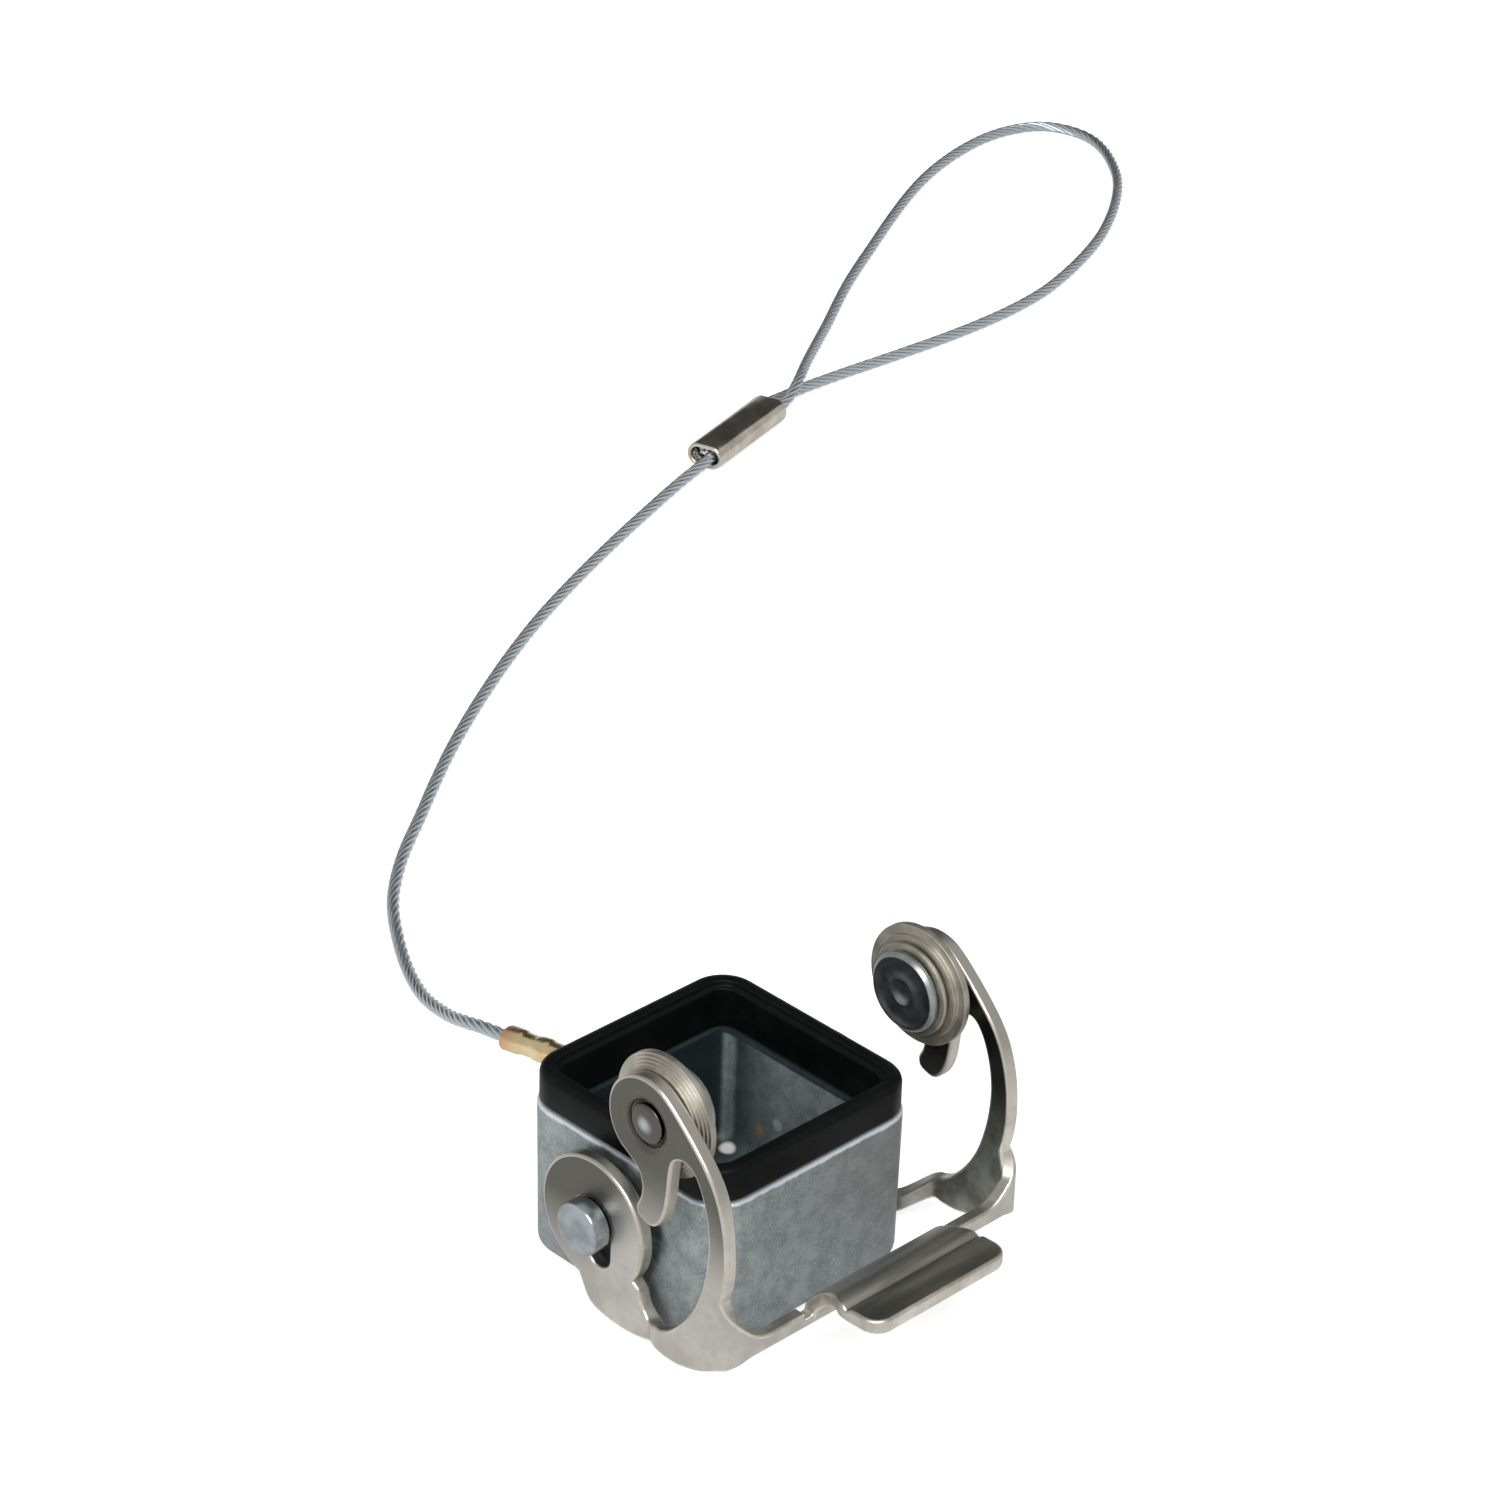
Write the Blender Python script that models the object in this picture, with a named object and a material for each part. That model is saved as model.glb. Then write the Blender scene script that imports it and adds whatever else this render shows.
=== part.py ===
# Protective cover for a small square heavy-duty connector: die-cast cup with a rim gasket,
# a one-piece spring-steel locking lever on two side studs, and a wire rope lanyard.
# The mouth faces up.  X is the lever's pivot axis, -Y is the grip side, +Y the lanyard side.
# Sizes below are in millimetres; every mesh is brought to metres when its object is made.
import bpy
import bmesh
from math import cos, pi, radians, sin
from mathutils import Matrix, Vector

MM = 0.001
CLEAR = 0.3                 # gap kept between neighbouring pieces

# cup
CUP_WIDTH = 27.0
CUP_HEIGHT = 16.6           # floor to metal rim
CUP_CORNER = 4.0
CUP_DRAFT = 0.15            # how much the foot is narrower per side
FOOT_ROUND = 1.3
WALL = 2.8
FLOOR = 2.4
CAVITY_FILLET = 1.4
RIM_WALL = 1.3              # upper wall outside the gasket seat
SEAT_DEPTH = 1.5            # gasket seat below the rim
RIM_CHAMFER = 0.3
CORNER_STEPS = 6

# gasket
GASKET_RISE = 3.7           # stands this much over the rim
GASKET_SETBACK = 0.2       # outer face behind the cup's face
GASKET_LIP = 0.5            # inner edge behind the cavity wall
GASKET_BEVEL = 0.7
GASKET_STEP = 0.55

# pivot studs
PIVOT_HEIGHT = 10.4
PIVOT_BOSS_RADIUS = 5.5
PIVOT_BOSS_HEIGHT = 1.2
STUD_SHANK_RADIUS = 2.1
STUD_SEAT_DEPTH = 2.8       # blind seat in boss and wall
STUD_HEAD_RADIUS = 2.75
STUD_HEAD_THICK = 1.8
STUD_CHAMFER = 0.4

# lever sheet
SHEET = 1.5
LOBE_RADIUS = 6.9
LOBE_HOLE_SLACK = 0.4       # hole radius over the stud's shank
LOBE_SLOT = 3.2             # the hole narrows to a round slot end below the pivot by this
LOBE_SLOT_FORWARD = 1.0
LOBE_SLOT_RADIUS = 1.4
JOGGLE = 2.8                # arm plane outboard of the lobe plane
JOGGLE_START = 8.5          # distances in front of the pivot
JOGGLE_END = 11.5
GRIP_GAP = 6.7              # cup face to the arm's front edge
WEB_BEND = 1.0              # bend radius at the middle of the sheet
HEAD_FORWARD = 9.8          # head centre from the pivot
HEAD_RISE = 17.1
HEAD_RADIUS = 4.9
ARM_TOP = 10.3              # where the arm turns towards its head, over the pivot
DISH_RADIUS = 3.1
DISH_DEPTH = 0.6

# web bar and thumb tab
WEB_LOW = 6.5
WEB_NOTCH = 7.1
WEB_TOP = 7.8
WEB_CORNER_TOP = 13.0
WEB_CORNER_LOW = 5.5
RELIEF_WIDTH = 1.0
TAB_HALF_WIDTH = 8.8
TAB_RISE = 2.8              # flat of the tab over the bar
TAB_BEAD = 0.3

# guide rollers with their washers and rivets
RIVET_RADIUS = 1.5
ROLLER_FLANGE_RADIUS = 6.2
ROLLER_FLANGE_THICK = 0.7
ROLLER_HUB_RADIUS = 5.3
ROLLER_HUB_THICK = 0.5
WASHER_RADIUS = 4.7
WASHER_THICK = 0.4
RIVET_FACE_RADIUS = 4.1
RIVET_FACE_THICK = 0.7
RIVET_TAIL_RADIUS = 2.0
RIVET_TAIL_THICK = 0.4

# lanyard
ROPE_DIAMETER = 1.4
TERMINAL_HEIGHT = 12.3
TERMINAL_SEAT_DEPTH = 1.9    # blind seat in the back wall
TERMINAL_SHANK_RADIUS = 1.1
TERMINAL_FLANGE_RADIUS = 2.0
TERMINAL_FLANGE_THICK = 1.0
TERMINAL_NECK_RADIUS = 0.9
TERMINAL_NECK_LENGTH = 4.7
TERMINAL_DROOP = 0.2        # the neck sinks this much per millimetre
BARREL_RADIUS = 1.35
BARREL_LENGTH = 10.7
BARREL_SOCKET = 3.0
CRIMP_DEPTH = 0.15
FERRULE_LENGTH = 16.8
FERRULE_WALL = 0.55
FERRULE_CHAMFER = 0.35
STRAND_GAP = 0.5            # between the two strands inside the ferrule
FERRULE_START = Vector((115.6, 122.4))
FERRULE_TURN = 16.0         # degrees from +X on the ground
GROUND_GAP = 0.05

# worked out from the sizes above
HALF = CUP_WIDTH / 2
CAVITY_HALF = HALF - WALL
SEAT_HALF = HALF - RIM_WALL
SEAT_HEIGHT = CUP_HEIGHT - SEAT_DEPTH
LOBE_X = HALF + PIVOT_BOSS_HEIGHT + CLEAR + SHEET / 2      # middle of the sheet
ARM_X = LOBE_X + JOGGLE
HEAD_X = ARM_X
FRONT_Y = -(HALF + GRIP_GAP)
WEB_Y = FRONT_Y - WEB_BEND
HEAD_Y = -HEAD_FORWARD
HEAD_Z = PIVOT_HEIGHT + HEAD_RISE


def clear_scene():
    for item in list(bpy.data.objects):
        bpy.data.objects.remove(item, do_unlink=True)


def material(name, colour, roughness, metallic):
    made = bpy.data.materials.new(name)
    made.use_nodes = True
    shader = made.node_tree.nodes["Principled BSDF"]
    shader.inputs["Base Color"].default_value = (*colour, 1.0)
    shader.inputs["Roughness"].default_value = roughness
    shader.inputs["Metallic"].default_value = metallic
    return made


def finish(name, bm, finish_material, smooth_angle=35.0):
    """Bring a millimetre bmesh to metres and link it as one object."""
    bmesh.ops.remove_doubles(bm, verts=bm.verts, dist=0.001)
    bmesh.ops.recalc_face_normals(bm, faces=bm.faces)
    bmesh.ops.scale(bm, vec=(MM, MM, MM), verts=bm.verts)
    mesh = bpy.data.meshes.new(name)
    bm.to_mesh(mesh)
    bm.free()
    mesh.materials.append(finish_material)
    mesh.shade_smooth()
    mesh.set_sharp_from_angle(angle=radians(smooth_angle))
    made = bpy.data.objects.new(name, mesh)
    bpy.context.scene.collection.objects.link(made)
    return made


def combine(target, operand, operation):
    """Boolean with a hidden helper solid."""
    operand.hide_render = True
    operand.display_type = "WIRE"
    step = target.modifiers.new(operation.lower(), "BOOLEAN")
    step.operation = operation
    step.solver = "EXACT"
    step.object = operand


def ring(bm, points):
    """A closed loop of edges through the points."""
    verts = [bm.verts.new(p) for p in points]
    return [bm.edges.new((verts[i - 1], verts[i])) for i in range(len(verts))]


def skin(bm, loops, around=False, caps=False):
    """Quads between closed loops of points, each loop joined to the next."""
    hoops = [[bm.verts.new(p) for p in loop] for loop in loops]
    following = hoops[1:] + hoops[:1] if around else hoops[1:]
    for first, second in zip(hoops, following):
        for i in range(len(first)):
            bm.faces.new((first[i - 1], first[i], second[i], second[i - 1]))
    if caps:
        bm.faces.new(hoops[0])
        bm.faces.new(hoops[-1])


def rounded_square(half, corner, height):
    corner = max(corner, 0.6)
    points = []
    for quarter in range(4):
        sx = (1, -1, -1, 1)[quarter]
        sy = (1, 1, -1, -1)[quarter]
        for step in range(CORNER_STEPS + 1):
            turn = (quarter + step / CORNER_STEPS) * pi / 2
            points.append(Vector((sx * (half - corner) + corner * cos(turn),
                                  sy * (half - corner) + corner * sin(turn), height)))
    return points


def square_loops(profile):
    """Rounded squares for (half width, height) pairs; the corner radius follows the inset
    from the cup's face."""
    return [rounded_square(h, CUP_CORNER - (HALF - h), z) for h, z in profile]


def turned(profile, origin, axis, steps=40):
    """Turn (distance along axis, radius) points about an axis through origin."""
    bm = bmesh.new()
    verts = [bm.verts.new((r, 0, a)) for a, r in profile]
    edges = [bm.edges.new(pair) for pair in zip(verts, verts[1:])]
    if profile[0][1] > 0:
        edges.append(bm.edges.new((verts[-1], verts[0])))
    bmesh.ops.spin(bm, geom=verts + edges, cent=(0, 0, 0), axis=(0, 0, 1),
                   angle=2 * pi, steps=steps, use_merge=True)
    bmesh.ops.remove_doubles(bm, verts=bm.verts, dist=0.001)
    turn = Vector((0, 0, 1)).rotation_difference(Vector(axis)).to_matrix().to_4x4()
    bmesh.ops.transform(bm, matrix=Matrix.Translation(origin) @ turn, verts=bm.verts)
    return bm


def smooth_line(points, steps):
    """Points along a smooth curve through the given points, ends included."""
    line = [Vector(p) for p in points]
    ends = [2 * line[0] - line[1]] + line + [2 * line[-1] - line[-2]]
    out = []
    for before, start, stop, after in zip(ends, ends[1:], ends[2:], ends[3:]):
        for k in range(steps):
            t = k / steps
            out.append(0.5 * (2 * start + (stop - before) * t
                              + (2 * before - 5 * start + 4 * stop - after) * t ** 2
                              + (3 * start - before - 3 * stop + after) * t ** 3))
    out.append(line[-1])
    return out


def arc(centre, radius, start, stop, steps):
    turns = [radians(start + (stop - start) * i / steps) for i in range(steps + 1)]
    return [Vector((centre[0] + radius * cos(t), centre[1] + radius * sin(t))) for t in turns]


# ---- cup ----

def cup_housing(metal):
    foot = HALF - CUP_DRAFT
    profile = []
    for step in range(4):
        turn = step / 3 * pi / 2
        profile.append((foot - FOOT_ROUND * (1 - sin(turn)), FOOT_ROUND * (1 - cos(turn))))
    profile += [(HALF, CUP_HEIGHT - RIM_CHAMFER), (HALF - RIM_CHAMFER, CUP_HEIGHT),
                (SEAT_HALF, CUP_HEIGHT), (SEAT_HALF, SEAT_HEIGHT), (CAVITY_HALF, SEAT_HEIGHT)]
    for step in range(4):
        turn = step / 3 * pi / 2
        profile.append((CAVITY_HALF - CAVITY_FILLET * (1 - cos(turn)),
                        FLOOR + CAVITY_FILLET * (1 - sin(turn))))
    bm = bmesh.new()
    skin(bm, square_loops(profile), caps=True)
    cup = finish("cover_housing", bm, metal)
    bore = STUD_SHANK_RADIUS + CLEAR
    face = HALF + PIVOT_BOSS_HEIGHT
    for side, word in ((-1, "left"), (1, "right")):
        boss = turned([(HALF - 1.0, 0), (HALF - 1.0, PIVOT_BOSS_RADIUS),
                       (face - 0.3, PIVOT_BOSS_RADIUS), (face, PIVOT_BOSS_RADIUS - 0.3),
                       (face, 0)], (0, 0, PIVOT_HEIGHT), (side, 0, 0), 28)
        combine(cup, finish("pivot_boss_" + word, boss, metal), "UNION")
    for side, word in ((-1, "left"), (1, "right")):
        seat = face - STUD_SEAT_DEPTH - CLEAR
        hole = turned([(seat, 0), (seat, bore), (face + 2, bore), (face + 2, 0)],
                      (0, 0, PIVOT_HEIGHT), (side, 0, 0), 24)
        combine(cup, finish("stud_bore_" + word, hole, metal), "DIFFERENCE")
    bore = TERMINAL_SHANK_RADIUS + CLEAR
    seat = HALF - TERMINAL_SEAT_DEPTH - CLEAR
    hole = turned([(seat, 0), (seat, bore), (HALF + 2, bore), (HALF + 2, 0)],
                  (0, 0, TERMINAL_HEIGHT), (0, 1, 0), 20)
    combine(cup, finish("terminal_bore", hole, metal), "DIFFERENCE")
    return cup


def rim_gasket(rubber):
    outer = HALF - GASKET_SETBACK
    inner = CAVITY_HALF + GASKET_LIP
    top = CUP_HEIGHT + GASKET_RISE
    shoulder = CUP_HEIGHT + CLEAR
    skirt = SEAT_HALF - CLEAR
    land = inner + GASKET_STEP
    profile = [(outer, shoulder), (outer, top - GASKET_BEVEL),
               (outer - GASKET_BEVEL / 3, top - GASKET_BEVEL / 4), (outer - GASKET_BEVEL, top),
               (land, top), (land - 0.1, top - GASKET_STEP),
               (inner, top - GASKET_STEP - 0.1), (inner, SEAT_HEIGHT + CLEAR),
               (skirt, SEAT_HEIGHT + CLEAR), (skirt, shoulder)]
    bm = bmesh.new()
    skin(bm, square_loops(profile), around=True)
    return finish("rim_gasket", bm, rubber)


def pivot_studs(steel):
    face = HALF + PIVOT_BOSS_HEIGHT
    head = LOBE_X + SHEET / 2 + CLEAR
    end = head + STUD_HEAD_THICK
    profile = [(face - STUD_SEAT_DEPTH, 0), (face - STUD_SEAT_DEPTH, STUD_SHANK_RADIUS),
               (head, STUD_SHANK_RADIUS), (head, STUD_HEAD_RADIUS),
               (end - STUD_CHAMFER, STUD_HEAD_RADIUS),
               (end - STUD_CHAMFER / 3, STUD_HEAD_RADIUS - STUD_CHAMFER / 3),
               (end, STUD_HEAD_RADIUS - STUD_CHAMFER), (end, 0)]
    for side, word in ((-1, "left"), (1, "right")):
        finish("pivot_stud_" + word, turned(profile, (0, 0, PIVOT_HEIGHT), (side, 0, 0), 28), steel)


# ---- lever: one bent sheet, drawn as its middle surface and thickened ----

def above(*points):
    """Heights given from the pivot axis, as (y, z) of the frame."""
    return [Vector((y, PIVOT_HEIGHT + z)) for y, z in points]


def fill_outline(bm, outlines, place):
    """Fill a flat outline, with any holes, and put each (y, z) point where place says."""
    edges = []
    for outline in outlines:
        edges += ring(bm, [place(p) for p in outline])
    bmesh.ops.triangle_fill(bm, use_beauty=True, use_dissolve=False, edges=edges, normal=(1, 0, 0))


def lever_lobe(bm):
    centre = (0, PIVOT_HEIGHT)
    rim = arc(centre, LOBE_RADIUS, 215, -75, 30)
    foot = smooth_line([rim[-1], *above((0.2, -9.2), (-2.4, -9.95), (-5.5, -9.95),
                                        (-JOGGLE_START, -9.3))], 4)[1:]
    crook = smooth_line([*above((-JOGGLE_START, -7.2), (-7.5, -6.8), (-6.75, -5.9), (-6.45, -4.6)),
                         rim[0]], 2)[:-1]
    radius = STUD_SHANK_RADIUS + LOBE_HOLE_SLACK
    slot_end = (-LOBE_SLOT_FORWARD, PIVOT_HEIGHT - LOBE_SLOT)
    hole = arc(centre, radius, -36, 182, 20) + arc(slot_end, LOBE_SLOT_RADIUS, 182, 324, 9)
    fill_outline(bm, [rim + foot + crook, hole], lambda p: (LOBE_X, p[0], p[1]))
    return foot[-1], crook[0]


def lever_arm(bm):
    """From the joggle to the level where the head begins."""
    sill = smooth_line(above((-JOGGLE_END, -7.1), (-13.1, -7.2), (-15.0, -7.1), (-17.6, -6.3),
                             (FRONT_Y, WEB_CORNER_LOW - PIVOT_HEIGHT)), 3)
    front = [Vector((FRONT_Y, WEB_NOTCH))]
    front += smooth_line([Vector((FRONT_Y, WEB_CORNER_TOP)), *above((FRONT_Y, 5.0), (FRONT_Y, ARM_TOP))], 2)
    inner = smooth_line(above((-18.6, ARM_TOP), (-18.5, 8.0), (-18.1, 4.8), (-17.3, 1.4),
                              (-15.9, -1.3), (-13.8, -3.6), (-12.4, -4.5), (-JOGGLE_END, -4.8)), 3)
    fill_outline(bm, [sill + front + inner], lambda p: (ARM_X, p[0], p[1]))
    return sill[0], inner[-1]


def lever_joggle(bm, lobe_edge, arm_edge):
    """The short slanted stretch between the lobe plane and the arm plane."""
    previous = None
    for share, out in ((0, 0), (0.15, 0.04), (0.35, 0.3), (0.65, 0.7), (0.85, 0.96), (1, 1)):
        pair = []
        for start, stop in zip(lobe_edge, arm_edge):
            y, z = start.lerp(stop, share)
            pair.append(bm.verts.new((LOBE_X + JOGGLE * out, y, z)))
        if previous:
            bm.faces.new((previous[0], previous[1], pair[1], pair[0]))
        previous = pair


def lever_head(bm):
    """Round head with a pressed dish, the hooking finger and the top of the arm."""
    centre = (HEAD_Y, HEAD_Z)
    rim = arc(centre, HEAD_RADIUS, 120, -50, 20)
    nape = smooth_line([*above((FRONT_Y, ARM_TOP), (-20.1, 12.3), (-19.5, 14.4), (-18.3, 16.5),
                               (-16.5, 18.3), (-14.7, 19.7), (-13.4, 20.65)), rim[0]], 3)[:-1]
    finger = smooth_line([rim[-1], *above((-7.9, 12.6), (-8.95, 11.8), (-9.45, 10.5), (-9.35, 9.1),
                                          (-8.85, 7.9), (-9.05, 6.95), (-9.9, 6.5), (-10.95, 6.4),
                                          (-11.95, 7.2), (-12.7, 8.9), (-13.05, 11.1), (-13.25, 13.3),
                                          (-13.6, 14.7), (-14.6, 15.4), (-16.1, 15.35), (-17.45, 14.1),
                                          (-18.25, 12.3), (-18.6, ARM_TOP))], 2)[1:]
    dish = arc(centre, DISH_RADIUS + 0.25, 0, 345, 23)
    fill_outline(bm, [nape + rim + finger, dish], lambda p: (HEAD_X, p[0], p[1]))
    bore = RIVET_RADIUS + CLEAR
    circles = [(DISH_RADIUS + 0.25, 0), (DISH_RADIUS, 0.12), (DISH_RADIUS - 0.35, DISH_DEPTH - 0.12),
               (DISH_RADIUS - 0.6, DISH_DEPTH), (bore, DISH_DEPTH)]
    skin(bm, [[(HEAD_X - depth, p[0], p[1]) for p in arc(centre, radius, 0, 345, 23)]
              for radius, depth in circles])


def lever_web(bm):
    """Bend round the front corner, then the bar across the front, up to the middle."""
    corner_x = ARM_X - WEB_BEND
    relief = TAB_HALF_WIDTH + RELIEF_WIDTH
    columns = []
    for turn, high, low in ((0, 1.0, 1.0), (22.5, 0.85, 0.8), (45, 0.7, 0.5), (67.5, 0.55, 0.25),
                            (90, 0.41, 0.1)):
        columns.append((corner_x + WEB_BEND * cos(radians(turn)),
                        FRONT_Y - WEB_BEND * sin(radians(turn)), high, low))
    columns += [(corner_x - 0.7, WEB_Y, 0.26, 0), (corner_x - 1.4, WEB_Y, 0.14, 0),
                (corner_x - 2.3, WEB_Y, 0.04, 0), (corner_x - 3.3, WEB_Y, 0, 0),
                (relief, WEB_Y, 0, 0), (TAB_HALF_WIDTH, WEB_Y, None, 0)]
    columns += [(TAB_HALF_WIDTH * share, WEB_Y, 0, 0) for share in (2 / 3, 1 / 3, 0)]
    previous = None
    for x, y, high, low in columns:
        foot = WEB_LOW + (WEB_CORNER_LOW - WEB_LOW) * low
        level = WEB_TOP + (WEB_CORNER_TOP - WEB_TOP) * (high or 0)
        column = [bm.verts.new((x, y, z)) for z in (foot, WEB_NOTCH, level)]
        if previous:
            bm.faces.new((previous[0], column[0], column[1], previous[1]))
            if high is not None:
                bm.faces.new((previous[1], column[1], column[2], previous[2]))
        previous = column


def lever_tab(bm):
    """Thumb tab: slants up from the bar, turns outwards, carries a bead and ends in a round edge."""
    rows = [(0, 0, 0), (0.15, 0.17, 0), (0.5, 0.38, 0), (1.75, 0.88, 0.05), (2.4, 0.97, 0.1),
            (3.2, 1, 0.2), (4.3, 1, 0.3), (4.75, 1 - TAB_BEAD / TAB_RISE, 0.3), (5.2, 1, 0.3),
            (6.4, 1.02, 0.3), (7.4, 1.03, 0.1), (8.2, 1.03, -0.6), (8.7, 1.03, -1.5), (8.9, 1.03, -2.6)]
    previous = None
    for out, up, wider in rows:
        half = TAB_HALF_WIDTH + wider
        row = [bm.verts.new((half * share, WEB_Y - out, WEB_TOP + TAB_RISE * up))
               for share in (1, 2 / 3, 1 / 3, 0)]
        if previous:
            for k in range(3):
                bm.faces.new((previous[k], previous[k + 1], row[k + 1], row[k]))
        previous = row


def locking_lever(steel):
    bm = bmesh.new()
    lobe_edge = lever_lobe(bm)
    arm_edge = lever_arm(bm)
    lever_joggle(bm, lobe_edge, arm_edge)
    lever_head(bm)
    lever_web(bm)
    lever_tab(bm)
    bmesh.ops.remove_doubles(bm, verts=bm.verts, dist=0.02)
    bmesh.ops.mirror(bm, geom=bm.verts[:] + bm.edges[:] + bm.faces[:], axis="X", merge_dist=0.01)
    lever = finish("locking_lever", bm, steel)
    thick = lever.modifiers.new("sheet", "SOLIDIFY")
    thick.thickness = SHEET * MM
    thick.offset = 0
    thick.use_even_offset = True
    pivot = (0, 0, PIVOT_HEIGHT * MM)
    lever.data.transform(Matrix.Translation((0, 0, -PIVOT_HEIGHT * MM)))
    lever.location = pivot
    return lever


# ---- guide rollers ----

def guide_rollers(plated, steel):
    face = HEAD_X - SHEET / 2 - DISH_DEPTH - CLEAR           # roller side next to the head
    hub = face - ROLLER_FLANGE_THICK
    front = hub - ROLLER_HUB_THICK
    bore = RIVET_RADIUS + CLEAR
    roller = [(face, bore), (face, ROLLER_FLANGE_RADIUS - 0.12), (face - 0.12, ROLLER_FLANGE_RADIUS),
              (hub + 0.12, ROLLER_FLANGE_RADIUS), (hub, ROLLER_FLANGE_RADIUS - 0.12),
              (hub, ROLLER_HUB_RADIUS), (front + 0.12, ROLLER_HUB_RADIUS),
              (front, ROLLER_HUB_RADIUS - 0.12), (front, bore)]
    top = front - CLEAR
    low = top - WASHER_THICK
    washer = [(top, bore), (top, WASHER_RADIUS), (low + 0.1, WASHER_RADIUS),
              (low, WASHER_RADIUS - 0.1), (low, bore)]
    shoulder = low - CLEAR
    end = shoulder - RIVET_FACE_THICK
    seat = HEAD_X + SHEET / 2 - DISH_DEPTH + CLEAR           # rivet tail over the dish
    rivet = [(end, 0), (end, 1.0), (end + 0.12, 1.25), (end + 0.12, RIVET_FACE_RADIUS - 0.9),
             (end, RIVET_FACE_RADIUS - 0.6), (end, RIVET_FACE_RADIUS - 0.35),
             (end + 0.35, RIVET_FACE_RADIUS), (shoulder, RIVET_FACE_RADIUS),
             (shoulder, RIVET_RADIUS), (seat, RIVET_RADIUS), (seat, RIVET_TAIL_RADIUS),
             (seat + RIVET_TAIL_THICK * 0.4, RIVET_TAIL_RADIUS),
             (seat + RIVET_TAIL_THICK, RIVET_TAIL_RADIUS - 0.7), (seat + RIVET_TAIL_THICK, 0)]
    centre = (0, HEAD_Y, HEAD_Z)
    for side, word in ((-1, "left"), (1, "right")):
        made = finish("guide_roller_" + word, turned(roller, (0, 0, 0), (side, 0, 0), 36), plated)
        made.location = Vector(centre) * MM
        finish("guide_washer_" + word, turned(washer, centre, (side, 0, 0), 28), steel)
        finish("roller_rivet_" + word, turned(rivet, centre, (side, 0, 0), 28), steel)


# ---- lanyard ----

def droop(y):
    """How far the terminal has sunk below its seat at a distance behind the cup's middle."""
    bend = HALF + CLEAR + TERMINAL_FLANGE_THICK
    run = max(y - bend, 0)
    return TERMINAL_DROOP * run * min(run / 3, 1)


def rope_terminal(brass):
    flange = HALF + CLEAR
    neck = flange + TERMINAL_FLANGE_THICK
    barrel = neck + TERMINAL_NECK_LENGTH
    end = barrel + BARREL_LENGTH
    tail = HALF - TERMINAL_SEAT_DEPTH
    socket = ROPE_DIAMETER / 2 + CLEAR
    profile = [(tail, 0), (tail, TERMINAL_SHANK_RADIUS), (flange, TERMINAL_SHANK_RADIUS),
               (flange, TERMINAL_FLANGE_RADIUS), (neck - 0.25, TERMINAL_FLANGE_RADIUS),
               (neck, TERMINAL_FLANGE_RADIUS - 0.25), (neck, TERMINAL_NECK_RADIUS)]
    profile += [(neck + TERMINAL_NECK_LENGTH * share, TERMINAL_NECK_RADIUS) for share in (0.3, 0.6, 0.9)]
    profile.append((barrel, BARREL_RADIUS))
    for share in (0.32, 0.68):
        middle = barrel + BARREL_LENGTH * share
        profile += [(middle - 1.4, BARREL_RADIUS), (middle - 0.8, BARREL_RADIUS - CRIMP_DEPTH),
                    (middle + 0.8, BARREL_RADIUS - CRIMP_DEPTH), (middle + 1.4, BARREL_RADIUS)]
    profile += [(end - 0.2, BARREL_RADIUS), (end, BARREL_RADIUS - 0.15), (end, socket),
                (end - BARREL_SOCKET, socket), (end - BARREL_SOCKET, 0)]
    bm = turned(profile, (0, 0, TERMINAL_HEIGHT), (0, 1, 0), 24)
    for vert in bm.verts:
        vert.co.z -= droop(vert.co.y)
    finish("rope_terminal", bm, brass)
    return end


def ferrule_frame():
    """Start, direction and left-hand side of the ferrule on the ground, and its axis height."""
    turn = radians(FERRULE_TURN)
    height = GROUND_GAP + FERRULE_WALL + CLEAR + ROPE_DIAMETER / 2
    return FERRULE_START, Vector((cos(turn), sin(turn))), Vector((-sin(turn), cos(turn))), height


def oval(half_round, spread, along, steps=8):
    """Two half circles of one radius, their centres spread apart sideways."""
    points = []
    for side, start in ((1, -90), (-1, 90)):
        for p in arc((side * spread, 0), half_round, start, start + 180, steps):
            points.append(Vector((along, p[0], p[1])))
    return points


def rope_ferrule(nickel):
    start, forward, left, height = ferrule_frame()
    spread = (ROPE_DIAMETER + STRAND_GAP) / 2
    bore = ROPE_DIAMETER / 2 + CLEAR
    outer = bore + FERRULE_WALL
    bm = bmesh.new()
    sizes = [(bore, 0), (outer - FERRULE_CHAMFER, 0), (outer, FERRULE_CHAMFER),
             (outer, FERRULE_LENGTH - FERRULE_CHAMFER), (outer - FERRULE_CHAMFER, FERRULE_LENGTH),
             (bore, FERRULE_LENGTH)]
    skin(bm, [oval(radius, spread, along) for radius, along in sizes], around=True)
    place = Matrix.Translation((start[0], start[1], height)) @ Matrix.Rotation(radians(FERRULE_TURN), 4, "Z")
    bmesh.ops.transform(bm, matrix=place, verts=bm.verts)
    finish("rope_ferrule", bm, nickel)


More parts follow.
